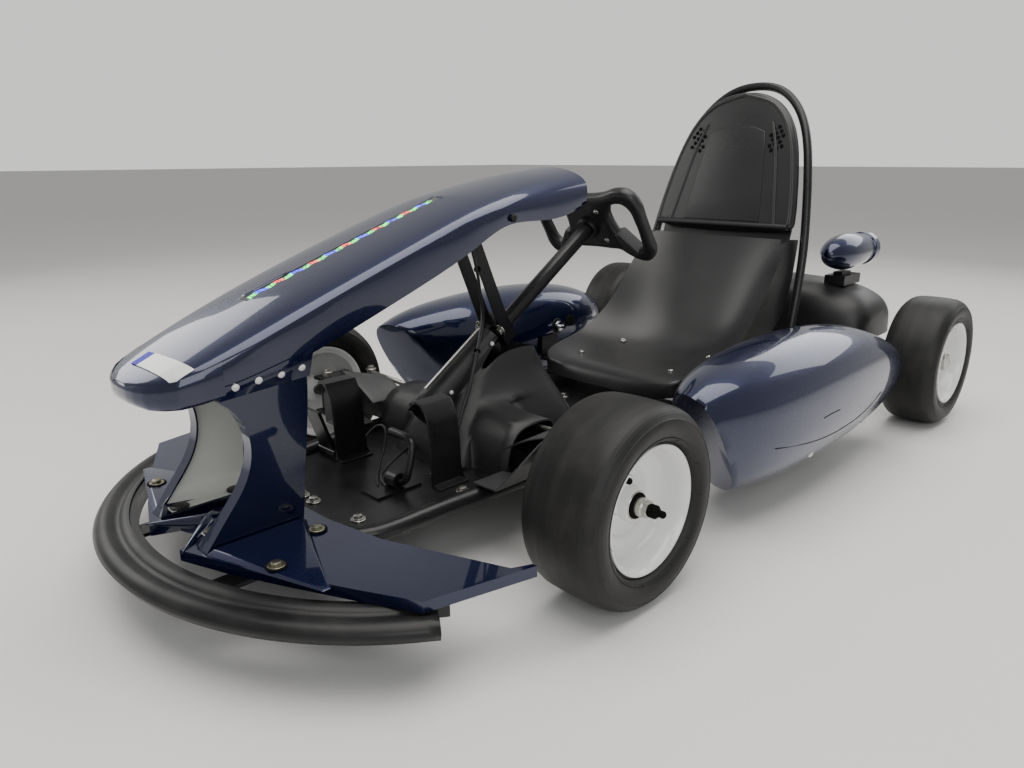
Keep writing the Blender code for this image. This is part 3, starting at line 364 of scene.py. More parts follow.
def makeDust():
    # pale dust that settles on faces that look up, and thins out in patches
    group, start, end = newGroup(
        "settledDust",
        [("Vector", "NodeSocketVector", None), ("Amount", "NodeSocketFloat", 0.2), ("Scale", "NodeSocketFloat", 14.0)],
        [("Mask", "NodeSocketFloat")],
    )
    shape = group.nodes.new("ShaderNodeNewGeometry")
    split = group.nodes.new("ShaderNodeSeparateXYZ")
    wire(group, shape.outputs["Normal"], split.inputs[0])
    upward = addRange(group, split.outputs["Z"], 0.15, 1.0, 0.15, 1.0)
    patch = addNoise(group, start.outputs["Vector"], start.outputs["Scale"], 6.0, 0.65)
    spots = addRange(group, patch.outputs["Fac"], 0.42, 0.72, 0.0, 1.0)
    both = addMath(group, "MULTIPLY", upward, spots)
    wire(group, addMath(group, "MULTIPLY", both, start.outputs["Amount"], True), end.inputs["Mask"])
    return group


def makeScuffs():
    # long thin scratches in two directions
    group, start, end = newGroup(
        "fineScratches",
        [("Vector", "NodeSocketVector", None), ("Amount", "NodeSocketFloat", 0.3)],
        [("Mask", "NodeSocketFloat")],
    )
    masks = []
    for turn, stretch in (((0.2, 0.1, 0.7), (420, 16, 60)), ((0.9, 0.4, -0.5), (20, 520, 70))):
        mapping = group.nodes.new("ShaderNodeMapping")
        mapping.inputs["Rotation"].default_value = turn
        mapping.inputs["Scale"].default_value = stretch
        wire(group, start.outputs["Vector"], mapping.inputs["Vector"])
        noise = addNoise(group, mapping.outputs["Vector"], 1.0, 2.0, 0.5)
        masks.append(addRange(group, noise.outputs["Fac"], 0.68, 0.74, 0.0, 1.0))
    most = addMath(group, "MAXIMUM", masks[0], masks[1])
    wire(group, addMath(group, "MULTIPLY", most, start.outputs["Amount"], True), end.inputs["Mask"])
    return group


grainGroup = makeGrain()
dustGroup = makeDust()
scuffGroup = makeScuffs()


def useGroup(tree, group, vector, **values):
    node = tree.nodes.new("ShaderNodeGroup")
    node.node_tree = group
    tree.links.new(vector, node.inputs["Vector"])
    for label, value in values.items():
        node.inputs[label].default_value = value
    return node


def newMaterial(name):
    # a material with its node tree, its shader and the piece's own coordinates
    material = bpy.data.materials.new(name)
    material.use_nodes = True
    tree = material.node_tree
    place = tree.nodes.new("ShaderNodeTexCoord").outputs["Object"]
    return material, tree, tree.nodes["Principled BSDF"], place


def addRelief(tree, shader, height, distance, strength=1.0):
    relief = tree.nodes.new("ShaderNodeBump")
    relief.inputs["Strength"].default_value = strength
    relief.inputs["Distance"].default_value = distance
    wire(tree, height, relief.inputs["Height"])
    wire(tree, relief.outputs["Normal"], shader.inputs["Normal"])


def finish(name, colour, rough, metal=0.0, grain=900.0, bump=0.0003, spread=0.1, dust=0.05, scuffs=0.2,
           tint=0.25, patches=9.0, coat=0.0, coatRough=0.05, specular=0.5, dustColour=(0.30, 0.29, 0.27)):
    # one painted, moulded or bare finish with its own grain, dust and scratches
    material, tree, shader, place = newMaterial(name)
    texture = useGroup(tree, grainGroup, place, Scale=grain, Patches=patches)
    settled = useGroup(tree, dustGroup, place, Amount=dust, Scale=patches * 1.6)
    worn = useGroup(tree, scuffGroup, place, Amount=scuffs)
    darker = tuple(part * (1 - tint) for part in colour)
    lighter = tuple(min(1.0, part * (1 + tint) + 0.002) for part in colour)
    body = addMix(tree, texture.outputs["Patch"], darker, lighter)
    dusty = addMix(tree, settled.outputs["Mask"], body, dustColour)
    wire(tree, dusty, shader.inputs["Base Color"])
    base = addRange(tree, texture.outputs["Patch"], 0.3, 0.7, max(0.02, rough - spread), rough + spread)
    rubbed = addMath(tree, "ADD", base, addMath(tree, "MULTIPLY", worn.outputs["Mask"], 0.35))
    whole = addMath(tree, "ADD", rubbed, addMath(tree, "MULTIPLY", settled.outputs["Mask"], 0.5), True)
    wire(tree, whole, shader.inputs["Roughness"])
    shader.inputs["Metallic"].default_value = metal
    shader.inputs["Coat Weight"].default_value = coat
    shader.inputs["Coat Roughness"].default_value = coatRough
    shader.inputs["Specular IOR Level"].default_value = specular
    height = addMath(tree, "SUBTRACT", texture.outputs["Height"], addMath(tree, "MULTIPLY", worn.outputs["Mask"], 0.4))
    addRelief(tree, shader, height, bump)
    return material


paintFacts = {"flakes": 2600, "orangePeel": 170.0, "waves": 0.00012, "metal": 0.7, "coatRough": 0.035, "coatIor": 1.55}


def midnightPaint(name):
    # deep metallic blue under clear coat, with a painted sheen: its colour turns a lighter violet blue where it is seen
    # edge on
    material, tree, shader, place = newMaterial(name)
    flakes = tree.nodes.new("ShaderNodeTexVoronoi")
    flakes.inputs["Scale"].default_value = paintFacts["flakes"]
    wire(tree, place, flakes.inputs["Vector"])
    flakeShade = tree.nodes.new("ShaderNodeSeparateColor")
    wire(tree, flakes.outputs["Color"], flakeShade.inputs[0])
    deep = addMix(tree, flakeShade.outputs["Red"], (0.0004, 0.0018, 0.0120), (0.0016, 0.0062, 0.048))
    sheenSlant = tree.nodes.new("ShaderNodeLayerWeight")
    sheenSlant.inputs["Blend"].default_value = 0.42
    # painted sheen: a lighter violet blue, mixed in by the facing weight where the paint is seen edge on
    edge = addMix(tree, flakeShade.outputs["Green"], (0.002, 0.012, 0.085), (0.006, 0.014, 0.100))
    paintedSheenBlue = addMix(tree, sheenSlant.outputs["Facing"], deep, edge)
    settled = useGroup(tree, dustGroup, place, Amount=0.02, Scale=18.0)
    wire(tree, addMix(tree, settled.outputs["Mask"], paintedSheenBlue, (0.22, 0.22, 0.22)), shader.inputs["Base Color"])
    texture = useGroup(tree, grainGroup, place, Scale=paintFacts["orangePeel"], Patches=7.0)
    scratch = useGroup(tree, scuffGroup, place, Amount=0.10)
    rough = addRange(tree, texture.outputs["Patch"], 0.3, 0.7, 0.24, 0.34)
    wire(tree, addMath(tree, "ADD", rough, scratch.outputs["Mask"], True), shader.inputs["Roughness"])
    shader.inputs["Metallic"].default_value = paintFacts["metal"]
    shader.inputs["Coat Weight"].default_value = 1.0
    shader.inputs["Coat Roughness"].default_value = paintFacts["coatRough"]
    shader.inputs["Coat IOR"].default_value = paintFacts["coatIor"]
    addRelief(tree, shader, texture.outputs["Height"], paintFacts["waves"])
    return material


def tyreRubber(name, centre):
    # rings on the sidewall and streaks round the tread, measured from the wheel's axle
    material, tree, shader, place = newMaterial(name)
    move = tree.nodes.new("ShaderNodeMapping")
    move.inputs["Location"].default_value = tuple(-part for part in centre)
    wire(tree, place, move.inputs["Vector"])
    split = tree.nodes.new("ShaderNodeSeparateXYZ")
    wire(tree, move.outputs["Vector"], split.inputs[0])
    squares = addMath(tree, "ADD", addMath(tree, "MULTIPLY", split.outputs["Y"], split.outputs["Y"]),
                      addMath(tree, "MULTIPLY", split.outputs["Z"], split.outputs["Z"]))
    radius = addMath(tree, "SQRT", squares)
    angle = addMath(tree, "ARCTAN2", split.outputs["Z"], split.outputs["Y"])
    around = tree.nodes.new("ShaderNodeCombineXYZ")
    wire(tree, addMath(tree, "MULTIPLY", split.outputs["X"], 60.0), around.inputs["X"])
    wire(tree, addMath(tree, "MULTIPLY", radius, 60.0), around.inputs["Y"])
    wire(tree, addMath(tree, "MULTIPLY", angle, 0.9), around.inputs["Z"])
    streaks = addNoise(tree, around.outputs[0], 1.0, 6.0, 0.6)
    blotches = addNoise(tree, move.outputs["Vector"], 16.0, 6.0, 0.65)
    pores = addNoise(tree, move.outputs["Vector"], 1400.0, 2.0, 0.5)
    colour = addMix(tree, addRange(tree, streaks.outputs["Fac"], 0.35, 0.7, 0.0, 1.0), (0.009, 0.009, 0.009),
                    (0.019, 0.0185, 0.018))
    dustMask = addRange(tree, blotches.outputs["Fac"], 0.50, 0.80, 0.0, 0.32)
    wire(tree, addMix(tree, dustMask, colour, (0.070, 0.064, 0.055)), shader.inputs["Base Color"])
    wire(tree, addRange(tree, blotches.outputs["Fac"], 0.3, 0.75, 0.36, 0.58), shader.inputs["Roughness"])
    lines = addMath(tree, "MULTIPLY", addMath(tree, "SINE", addMath(tree, "MULTIPLY", radius, 2400.0)), 0.10)
    tall = addMath(tree, "ADD", addMath(tree, "MULTIPLY", streaks.outputs["Fac"], 1.2),
                   addMath(tree, "MULTIPLY", pores.outputs["Fac"], 0.35))
    addRelief(tree, shader, addMath(tree, "ADD", tall, lines), 0.0005, 0.8)
    shader.inputs["Specular IOR Level"].default_value = 0.3
    return material


paint = midnightPaint("midnightBluePaint")
powderCoat = finish("blackPowderCoat", (0.008, 0.008, 0.009), 0.30, 0.15, grain=520, bump=0.00018, dust=0.05, scuffs=0.12,
                    spread=0.06)
seatPlastic = finish("seatPlastic", (0.0125, 0.0125, 0.013), 0.31, grain=1500, bump=0.00012, spread=0.05, dust=0.03,
                     scuffs=0.10, tint=0.12, patches=5.0)
coverPlastic = finish("coverPlastic", (0.012, 0.012, 0.0125), 0.38, grain=760, bump=0.0003, spread=0.07, dust=0.06,
                      scuffs=0.2, tint=0.15)
gripPlastic = finish("gripPlastic", (0.013, 0.013, 0.014), 0.33, grain=1300, bump=0.00016, spread=0.07, dust=0.06,
                     scuffs=0.2)
bumperRubber = finish("bumperRubber", (0.010, 0.010, 0.0105), 0.34, grain=640, bump=0.00015, spread=0.06, dust=0.06,
                      scuffs=0.2, specular=0.3)
rimEnamel = finish("whiteRimEnamel", (0.80, 0.80, 0.79), 0.22, grain=150, bump=0.00008, spread=0.06, dust=0.18, scuffs=0.10,
                   tint=0.03, coat=0.6, dustColour=(0.42, 0.39, 0.34))
zinc = finish("zincPlate", (0.56, 0.55, 0.51), 0.30, 1.0, grain=700, bump=0.0001, spread=0.1, dust=0.12, scuffs=0.3,
              tint=0.15)
yellowZinc = finish("yellowZinc", (0.34, 0.32, 0.25), 0.32, 1.0, grain=700, bump=0.0001, spread=0.1, dust=0.12, scuffs=0.3,
                    tint=0.2)
chrome = finish("keyChrome", (0.72, 0.72, 0.73), 0.12, 1.0, grain=300, bump=0.00003, spread=0.05, dust=0.05, scuffs=0.15,
                tint=0.05)
guardGrey = finish("guardGrey", (0.040, 0.041, 0.043), 0.42, 0.2, grain=560, bump=0.0002, spread=0.08, dust=0.15,
                   scuffs=0.2)
legLining = finish("legLining", (0.62, 0.62, 0.58), 0.5, grain=380, bump=0.0003, spread=0.08, dust=0.15, scuffs=0.2,
                   tint=0.08)
screwWhite = finish("whiteScrew", (0.66, 0.66, 0.65), 0.28, grain=500, bump=0.00005, spread=0.06, dust=0.08, tint=0.05)
blackBolt = finish("blackBolt", (0.014, 0.014, 0.014), 0.38, 0.5, grain=700, bump=0.0001, spread=0.1, dust=0.1)
cableBlack = finish("cableBlack", (0.014, 0.014, 0.015), 0.48, grain=800, bump=0.0001, spread=0.08, dust=0.15)
cableGrey = finish("cableGrey", (0.16, 0.16, 0.16), 0.5, grain=800, bump=0.0001, spread=0.08, dust=0.15)
batteryCase = finish("batteryCase", (0.10, 0.11, 0.12), 0.5, grain=600, bump=0.0002)
motorPaint = finish("motorPaint", (0.020, 0.020, 0.021), 0.36, 0.4, grain=480, bump=0.0002, dust=0.2)
plateWhite = finish("plateWhite", (0.78, 0.78, 0.77), 0.24, grain=300, bump=0.00003, spread=0.04, dust=0.05, tint=0.02,
                    coat=0.5)
plateBand = finish("plateBand", (0.03, 0.035, 0.45), 0.5, grain=300, bump=0.00003, spread=0.04, dust=0.05, tint=0.1,
                   specular=0.2)
# matte black for the black rubber and plastic parts, also used as painted shade in the speaker holes
blackPartsAndHoleShade = finish("blackPartsAndHoleShade", (0.003, 0.003, 0.003), 0.8, grain=600, bump=0.0001, dust=0.0, scuffs=0.0, specular=0.1)
chainSteel = finish("chainSteel", (0.20, 0.19, 0.17), 0.36, 1.0, grain=900, bump=0.0002, dust=0.1, tint=0.3)
print("finishes made")

floorFinish = finish("paleFloor", (0.80, 0.79, 0.77), 0.5, grain=90, bump=0.0004, spread=0.08, dust=0.0, scuffs=0.0,
                     tint=0.02, patches=1.2)
deselectAll()
bpy.ops.mesh.primitive_plane_add(size=80, location=(0, 0, 0))
studioFloor = bpy.context.active_object
studioFloor.name = "studioFloor"
dress(studioFloor, floorFinish)

# the CAD nodes that keep their shape get their finishes
keptFinishes = {
    "rail_left": powderCoat, "rail_right": powderCoat, "rear_cross_tube": powderCoat, "front_axle_beam": powderCoat,
    "knuckle_left": powderCoat, "knuckle_right": powderCoat, "column_post": powderCoat, "pod_cross_bar": powderCoat,
    "floor_pan": powderCoat, "axle_bearing_left": powderCoat, "axle_bearing_right": powderCoat, "brake_caliper": motorPaint,
    "drive_motor": motorPaint, "bumper_bar": powderCoat, "pedal_bracket": powderCoat, "steering_shaft": powderCoat,
    "steering_strut_left": powderCoat, "steering_strut_right": powderCoat, "toe_hoop_left": powderCoat,
    "toe_hoop_right": powderCoat, "brake_pedal": powderCoat, "throttle_pedal": powderCoat, "seat_hoop": powderCoat,
    "kingpin_left": zinc, "kingpin_right": zinc, "tie_rod_left": zinc, "tie_rod_right": zinc, "rear_axle": zinc,
    "rear_sprocket": chainSteel, "motor_sprocket": chainSteel, "brake_disc": zinc, "drive_chain": chainSteel,
    "key_switch": chrome, "motor_controller": zinc, "battery_pack": batteryCase, "foot_guard_left": guardGrey,
    "foot_guard_right": guardGrey, "bumper_rubber": bumperRubber, "hood": paint, "hood_leg_left": paint,
    "hood_leg_right": paint, "splitter": paint, "side_pod_left": paint, "side_pod_right": paint, "tail_pod_left": paint,
    "tail_pod_right": paint, "headrest_panel": seatPlastic, "seat_shell": seatPlastic, "rear_cover": coverPlastic,
    "steering_wheel": gripPlastic, "tower_cover": coverPlastic, "light_strip": blackPartsAndHoleShade,
}
for node, material in keptFinishes.items():
    dress(nodes[node], material)
softNodes = {
    0.0012: ("front_axle_beam", "knuckle_left", "knuckle_right", "column_post", "pod_cross_bar", "axle_bearing_left",
             "axle_bearing_right", "brake_caliper", "pedal_bracket", "throttle_pedal", "floor_pan", "battery_pack",
             "motor_controller"),
    0.0007: ("steering_strut_left", "steering_strut_right", "splitter", "toe_hoop_left", "toe_hoop_right",
             "foot_guard_left", "foot_guard_right"),
}
for width, names in softNodes.items():
    for node in names:
        softEdges(node, width)
print("frame nodes finished")

# wheels
wheelFacts = {"radius": 0.128, "bead": 0.0755, "flange": 0.0815, "seat": 0.0445, "steps": 96, "axleHeight": 0.128}
wheelEnds = {
    "front": {"out": 0.352, "back": 0.0, "width": 0.115, "bore": 0.0089},
    "rear": {"out": 0.386, "back": 0.989, "width": 0.104, "bore": 0.0129},
}
hairFacts = {"length": 0.0055, "radius": 0.00035, "count": 11}


def tyreOutline(width):
    half = width / 2
    radius = wheelFacts["radius"]
    bead = wheelFacts["bead"]
    outer = [
        (0.0440, bead), (0.0447, bead + 0.0045), (0.0455, bead + 0.0080), (half - 0.0060, 0.0865), (half - 0.0036, 0.0890),
        (half - 0.0032, 0.0902), (half - 0.0040, 0.0911), (half - 0.0022, 0.0938), (half - 0.0006, 0.0990), (half, 0.1040),
        (half - 0.0004, 0.1085), (half - 0.0014, 0.1125), (half - 0.0010, 0.1134), (half - 0.0022, 0.1142),
        (half - 0.0048, 0.1182), (half - 0.0088, 0.1220), (half - 0.0138, 0.1248), (half - 0.0200, radius - 0.0014),
        (0.020, radius - 0.0003), (0.007, radius),
    ]
    return outer + [(-along, size) for along, size in reversed(outer)] + [outer[0]]


def rimOutline(side, bore):
    flange = wheelFacts["seat"] + 0.0006
    bead = wheelFacts["bead"]
    lip = wheelFacts["flange"]
    half = [
        (-0.026, bore), (-0.026, 0.021), (0.006, 0.024), (0.0065, 0.040), (0.008, 0.058), (0.007, 0.0655),
        (-0.008, 0.0675), (-0.044, 0.0700), (-flange - 0.0038, 0.0790), (-flange - 0.0036, lip - 0.0006),
        (-flange - 0.0022, lip), (-flange, lip - 0.0004), (-flange + 0.0004, bead + 0.001),
        (-flange + 0.0016, bead - 0.0004), (flange - 0.0016, bead - 0.0004), (flange - 0.0004, bead + 0.001),
        (flange, lip - 0.0004), (flange + 0.0022, lip), (flange + 0.0036, lip - 0.0006), (flange + 0.0040, 0.0790),
        (flange - 0.0005, 0.0745), (0.0345, 0.0715), (0.0215, 0.0700), (0.0160, 0.0665), (0.0135, 0.0600),
        (0.0132, 0.0520), (0.0120, 0.0460), (0.0090, 0.0420), (0.0088, 0.0340), (0.0112, 0.0295), (0.0118, 0.0260),
        (0.0130, 0.0225), (0.0235, 0.0205), (0.0240, 0.0195), (0.0240, bore), (-0.026, bore),
    ]
    return [(side * along, size) for along, size in half]


def hexNut(name, across, thick, material):
    # a six-sided nut along +X, chamfered at its outer rim
    deselectAll()
    bpy.ops.mesh.primitive_cylinder_add(vertices=6, radius=across / math.sqrt(3), depth=thick, rotation=(0, math.pi / 2, 0),
                                        location=(thick / 2, 0, 0))
    nut = placed(bpy.context.active_object)
    nut.name = name
    bpy.ops.object.mode_set(mode="EDIT")
    bpy.ops.mesh.select_all(action="SELECT")
    bpy.ops.mesh.bevel(offset=across * 0.06, segments=2)
    bpy.ops.object.mode_set(mode="OBJECT")
    dress(nut, material)
    smooth(nut, 35)
    return nut


def disc(name, outer, inner, thick, material, dome=0.0, steps=32):
    # a washer, boss or domed head along +X
    edge = min(thick * 0.3, outer * 0.12)
    profile = [(0, max(inner, 0.00005)), (0, outer - edge), (edge * 0.6, outer), (thick - edge, outer),
               (thick, outer - edge)]
    if dome:
        profile += [(thick + dome * 0.55, outer * 0.72), (thick + dome * 0.9, outer * 0.4)]
    profile += [(thick + dome, max(inner, 0.00005))]
    if inner:
        profile += [profile[0]]
    piece = turned(name, profile, material, steps, 35)
    if not inner:
        pick(piece)
        bpy.ops.object.mode_set(mode="EDIT")
        bpy.ops.mesh.select_all(action="DESELECT")
        bpy.ops.mesh.select_mode(type="EDGE")
        bpy.ops.mesh.select_non_manifold()
        bpy.ops.mesh.edge_collapse()
        bpy.ops.mesh.select_all(action="SELECT")
        bpy.ops.mesh.normals_make_consistent(inside=False)
        bpy.ops.object.mode_set(mode="OBJECT")
    return piece


def mouldHairs(label, side, middle, width, body):
    # the short rubber whiskers that a mould leaves on the sidewalls
    deselectAll()
    bpy.ops.mesh.primitive_cone_add(vertices=5, radius1=hairFacts["radius"], radius2=hairFacts["radius"] * 0.5,
                                    depth=hairFacts["length"])
    hair = bpy.context.active_object
    dress(hair, blackPartsAndHoleShade)
    hairs = []
    for row, radius in ((side, 0.0880), (side, 0.1100), (-side, 0.0990)):
        for index in range(hairFacts["count"]):
            angle = 2 * math.pi * (index + random.uniform(-0.25, 0.25)) / hairFacts["count"]
            outward = Vector((row * 1.0, 0.35 * math.cos(angle), 0.35 * math.sin(angle) - 0.15)).normalized()
            root = middle + Vector((row * (width / 2 - 0.0035), radius * math.cos(angle), radius * math.sin(angle)))
            turn = Vector((0, 0, 1)).rotation_difference(outward).to_matrix().to_4x4()
            hairs.append(copied(hair, "hair", Matrix.Translation(root + outward * hairFacts["length"] * 0.42) @ turn))
    bpy.data.objects.remove(hair)
    moulded = joined(hairs, "mouldHairs_" + label)
    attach(moulded, body)


def hubFittings(label, side, middle, bore, body):
    # dust seal and ring, then a spacer, nut and capped stud in front, or the axle's nut behind
    stack = [
        (disc("hubSeal", 0.0165, bore, 0.0042, blackPartsAndHoleShade, steps=48), 0.0240),
        (disc("hubRing", 0.0185, bore, 0.0035, zinc, steps=48), 0.0222),
    ]
    if body == "rear_wheels":
        stack += [
            (disc("hubWasher", 0.0175, 0.0126, 0.002, zinc, steps=40), 0.0282),
            (hexNut("hubNut", 0.0320, 0.009, zinc), 0.0300),
        ]
    else:
        stack += [
            (disc("hubSpacer", 0.0118, 0.0082, 0.012, zinc, steps=40), 0.0262),
            (hexNut("hubNut", 0.0190, 0.010, zinc), 0.0345),
            (disc("studCap", 0.0085, 0.0, 0.010, blackPartsAndHoleShade, dome=0.003, steps=28), 0.0440),
            (disc("studTip", 0.0045, 0.0, 0.010, blackPartsAndHoleShade, dome=0.002, steps=24), 0.0540),
        ]
    outside = Vector((side, 0, 0))
    for part, out in stack:
        part.data.transform(facing(outside, middle + outside * out))
    hub = joined([part for part, out in stack], "hubFittings_" + label)
    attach(hub, body)


valveOutline = [(0, 0.0001), (0, 0.0050), (0.003, 0.0046), (0.006, 0.0034), (0.018, 0.0030), (0.018, 0.0040),
                (0.025, 0.0040), (0.0265, 0.0030), (0.0265, 0.0001)]


def wheelSet(label, side, facts, body):
    middle = at(side * facts["out"], facts["back"], wheelFacts["axleHeight"])
    rubber = tyreRubber("tyreRubber_" + label, middle)
    tyre = turned("slickTyre_" + label, tyreOutline(facts["width"]), rubber, wheelFacts["steps"], 30)
    tyre.data.transform(Matrix.Translation(middle))
    mouldHairs(label, side, middle, facts["width"], body)
    rim = turned("dishedRim_" + label, rimOutline(side, facts["bore"]), rimEnamel, wheelFacts["steps"], 30)
    rim.data.transform(Matrix.Translation(middle))
    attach(tyre, body)
    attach(rim, body)
    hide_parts("tyre_" + label)
    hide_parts("rim_" + label)
    # the valve points out of the dish
    valveRoot = middle + Vector((side * 0.0130, 0.055 * math.cos(2.2), 0.055 * math.sin(2.2)))
    valve = turned("valveStem_" + label, valveOutline, blackPartsAndHoleShade, 20, 35)
    valve.data.transform(facing((side, 0, 0), valveRoot - Vector((side * 0.001, 0, 0))))
    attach(valve, body)
    hubFittings(label, side, middle, facts["bore"], body)


for endName, facts in wheelEnds.items():
    for side, hand in ((1, "left"), (-1, "right")):
        wheelSet(endName + "_" + hand, side, facts, "rear_wheels" if endName == "rear" else "front_wheel_" + hand)
print("wheels made")

# smooth skins over the lofted panels and bent tubes
for node, name, levels, sharp, material in (
    ("side_pod_left", "podSkin_left", 2, 50, paint), ("side_pod_right", "podSkin_right", 2, 50, paint),
    ("tail_pod_left", "tailPodSkin_left", 2, 50, paint), ("tail_pod_right", "tailPodSkin_right", 2, 50, paint),
    ("rear_cover", "rearCoverSkin", 2, 50, coverPlastic), ("hood", "hoodSkin", 2, 42, paint),
    ("hood_leg_left", "legSkin_left", 2, 50, paint), ("hood_leg_right", "legSkin_right", 2, 50, paint),
    ("seat_shell", "seatSkin", 2, 60, seatPlastic), ("rail_left", "railTube_left", 2, 50, powderCoat),
    ("rail_right", "railTube_right", 2, 50, powderCoat), ("seat_hoop", "hoopTube", 2, 50, powderCoat),
    ("bumper_rubber", "bumperRubberSkin", 1, 50, bumperRubber), ("bumper_bar", "bumperTube", 1, 50, powderCoat),
    ("brake_pedal", "brakePedalRod", 2, 50, powderCoat),
):
    body = "brake_pedal" if node == "brake_pedal" else "chassis"
    skin = refined(node, name, levels, sharp, body)
    dress(skin, material)
print("skins made")

# steering wheel: a butterfly grip drawn flat, then leaned to the column
wheelGrip = {
    "hub": (0, 0.369, 0.418), "slope": 33.5, "thick": 0.0215, "round": 0.0085,
    "outline": (
        (0.0, -0.060), (0.045, -0.0635), (0.080, -0.0730), (0.103, -0.0690), (0.1165, -0.0500), (0.1175, -0.0150),
        (0.1175, 0.0200), (0.1165, 0.0500), (0.1030, 0.0670), (0.0840, 0.0675), (0.0600, 0.0560), (0.0500, 0.0490),
        (0.0300, 0.0480), (0.0, 0.0470),
    ),
    "hole": ((0.053, -0.036), (0.080, -0.047), (0.093, -0.040), (0.099, -0.012), (0.099, 0.018), (0.095, 0.039),
             (0.086, 0.045), (0.063, 0.026), (0.049, 0.000)),
}


def flatShape(name, loops, thick, roundEdge, material, soft=True):
    # a flat outline with holes, extruded and rounded, as a mesh in its own plane
    deselectAll()
    line = bpy.data.curves.new(name, "CURVE")
    line.dimensions = "2D"
    line.fill_mode = "BOTH"
    line.extrude = max(0.0, thick / 2 - roundEdge)
    line.bevel_depth = roundEdge
    line.bevel_resolution = 3
    line.offset = -roundEdge
    line.resolution_u = 5
    for loop in loops:
        spline = line.splines.new("BEZIER")
        spline.bezier_points.add(len(loop) - 1)
        for knot, (x, y) in zip(spline.bezier_points, loop):
            knot.co = (x, y, 0)
            knot.handle_left_type = knot.handle_right_type = "AUTO" if soft else "VECTOR"
        spline.use_cyclic_u = True
    obj = bpy.data.objects.new(name, line)
    bpy.context.collection.objects.link(obj)
    pick(obj)
    bpy.ops.object.convert(target="MESH")
    obj = bpy.context.active_object
    bpy.ops.object.mode_set(mode="EDIT")
    bpy.ops.mesh.select_all(action="SELECT")
    bpy.ops.mesh.remove_doubles(threshold=0.00005)
    bpy.ops.mesh.normals_make_consistent(inside=False)
    bpy.ops.object.mode_set(mode="OBJECT")
    dress(obj, material)
    smooth(obj, 38)
    return obj


def mirroredLoop(half):
    return list(half) + [(-x, y) for x, y in reversed(half) if abs(x) > 0.0001]


gripPlane = Matrix.Translation(at(*wheelGrip["hub"])) @ Matrix.Rotation(math.radians(wheelGrip["slope"]) - math.pi / 2, 4,
        "X")
grip = flatShape(
    "steeringGrip",
    [mirroredLoop(wheelGrip["outline"]), wheelGrip["hole"], [(-x, y) for x, y in wheelGrip["hole"]]],
    wheelGrip["thick"], wheelGrip["round"], gripPlastic,
)
grip.data.transform(gripPlane)
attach(grip, "steering")
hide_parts("steering_wheel")
boss = disc("gripBoss", 0.030, 0.0, 0.004, gripPlastic, dome=0.002, steps=48)
boss.data.transform(gripPlane @ facing((0, 0, 1), (0, 0, 0.0098)))
collar = disc("gripCollar", 0.0205, 0.0, 0.010, powderCoat, steps=40)
collar.data.transform(gripPlane @ facing((0, 0, -1), (0, 0, -0.0095)))
bossParts = [boss, collar]
screw = disc("gripScrew", 0.0048, 0.0, 0.0018, zinc, dome=0.0012, steps=24)
for x, y in ((0.030, -0.033), (-0.030, -0.033), (0.030, 0.026), (-0.030, 0.026)):
    bossParts.append(copied(screw, "s", gripPlane @ facing((0, 0, 1), (x, y, 0.0105))))
    bossParts.append(copied(screw, "s", gripPlane @ facing((0, 0, -1), (x, y, -0.0105))))
bpy.data.objects.remove(screw)
gripFittings = joined(bossParts, "gripFittings")
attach(gripFittings, "steering")
for side, label in ((1, "left"), (-1, "right")):
    inlay = flatShape(
        "gripInlay_" + label,
        [[(side * x, y) for x, y in ((0.050, 0.014), (0.060, 0.012), (0.088, 0.0475), (0.084, 0.0555), (0.060, 0.0470))]],
        0.0236, 0.002, guardGrey, soft=False,
    )
    inlay.data.transform(gripPlane)
    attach(inlay, "steering")
print("steering wheel made")

# headrest: a moulded panel with a sunk field, speaker holes drawn as black discs of painted shade, and a rolled lower
# edge
headrest = {
    "low": (0, 0.806, 0.3850), "lean": 15.5, "thick": 0.024,
    "half": (
        (0.150, 0.0), (0.1575, 0.008), (0.158, 0.030), (0.152, 0.075), (0.142, 0.130), (0.129, 0.180), (0.111, 0.220),
        (0.087, 0.250),
        (0.057, 0.270), (0.029, 0.279), (0.0, 0.281),
    ),
    "field": ((0.088, 0.012), (0.082, 0.060), (0.070, 0.150), (0.062, 0.196), (0.040, 0.206), (0.0, 0.2085)),
    "skirt": ((-0.150, -0.034), (-0.080, -0.041), (0.080, -0.041), (0.150, -0.034), (0.152, 0.022), (-0.152, 0.022)),
    "ridge": ((0.122, 0.006), (0.112, 0.060), (0.100, 0.130), (0.088, 0.180), (0.074, 0.215)),
    "border": ((0.152, 0.010), (0.151, 0.034), (0.145, 0.075), (0.135, 0.128), (0.122, 0.176), (0.104, 0.215),
               (0.081, 0.243), (0.053, 0.262), (0.0, 0.2735)),
    "holeOutline": ((0.0002, 0.00005), (0.0002, 0.0030), (0.0009, 0.0036), (0.0002, 0.0041), (-0.002, 0.0041),
                    (-0.002, 0.00005)),
    "holes": ((0, 0), (11, 4), (22, 8), (-6, 9), (5, 13), (16, 17), (-1, 22), (10, 26), (21, 30), (-7, 31), (4, 35),
              (15, 39), (-2, 44), (9, 48)),
}
headPlane = Matrix.Translation(at(*headrest["low"])) @ Matrix.Rotation(-math.radians(headrest["lean"]), 4,
        "X") @ Matrix.Rotation(math.pi / 2, 4, "X")
headFace = headrest["thick"] / 2
panel = flatShape("headrestShell", [mirroredLoop(headrest["half"])], headrest["thick"], 0.010, seatPlastic)
panel.data.transform(headPlane)
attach(panel, "chassis")
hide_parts("headrest_panel")
skirt = flatShape("headrestSkirt", [headrest["skirt"]], 0.004, 0.0012, seatPlastic, soft=False)
skirt.data.transform(headPlane @ Matrix.Translation((0, 0, -headFace - 0.0012)))
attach(skirt, "chassis")
field = flatShape("headrestField", [mirroredLoop(headrest["field"])], 0.003, 0.0012, seatPlastic, soft=False)
field.data.transform(headPlane @ Matrix.Translation((0, 0, headFace + 0.0002)))
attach(field, "chassis")
ridges = []
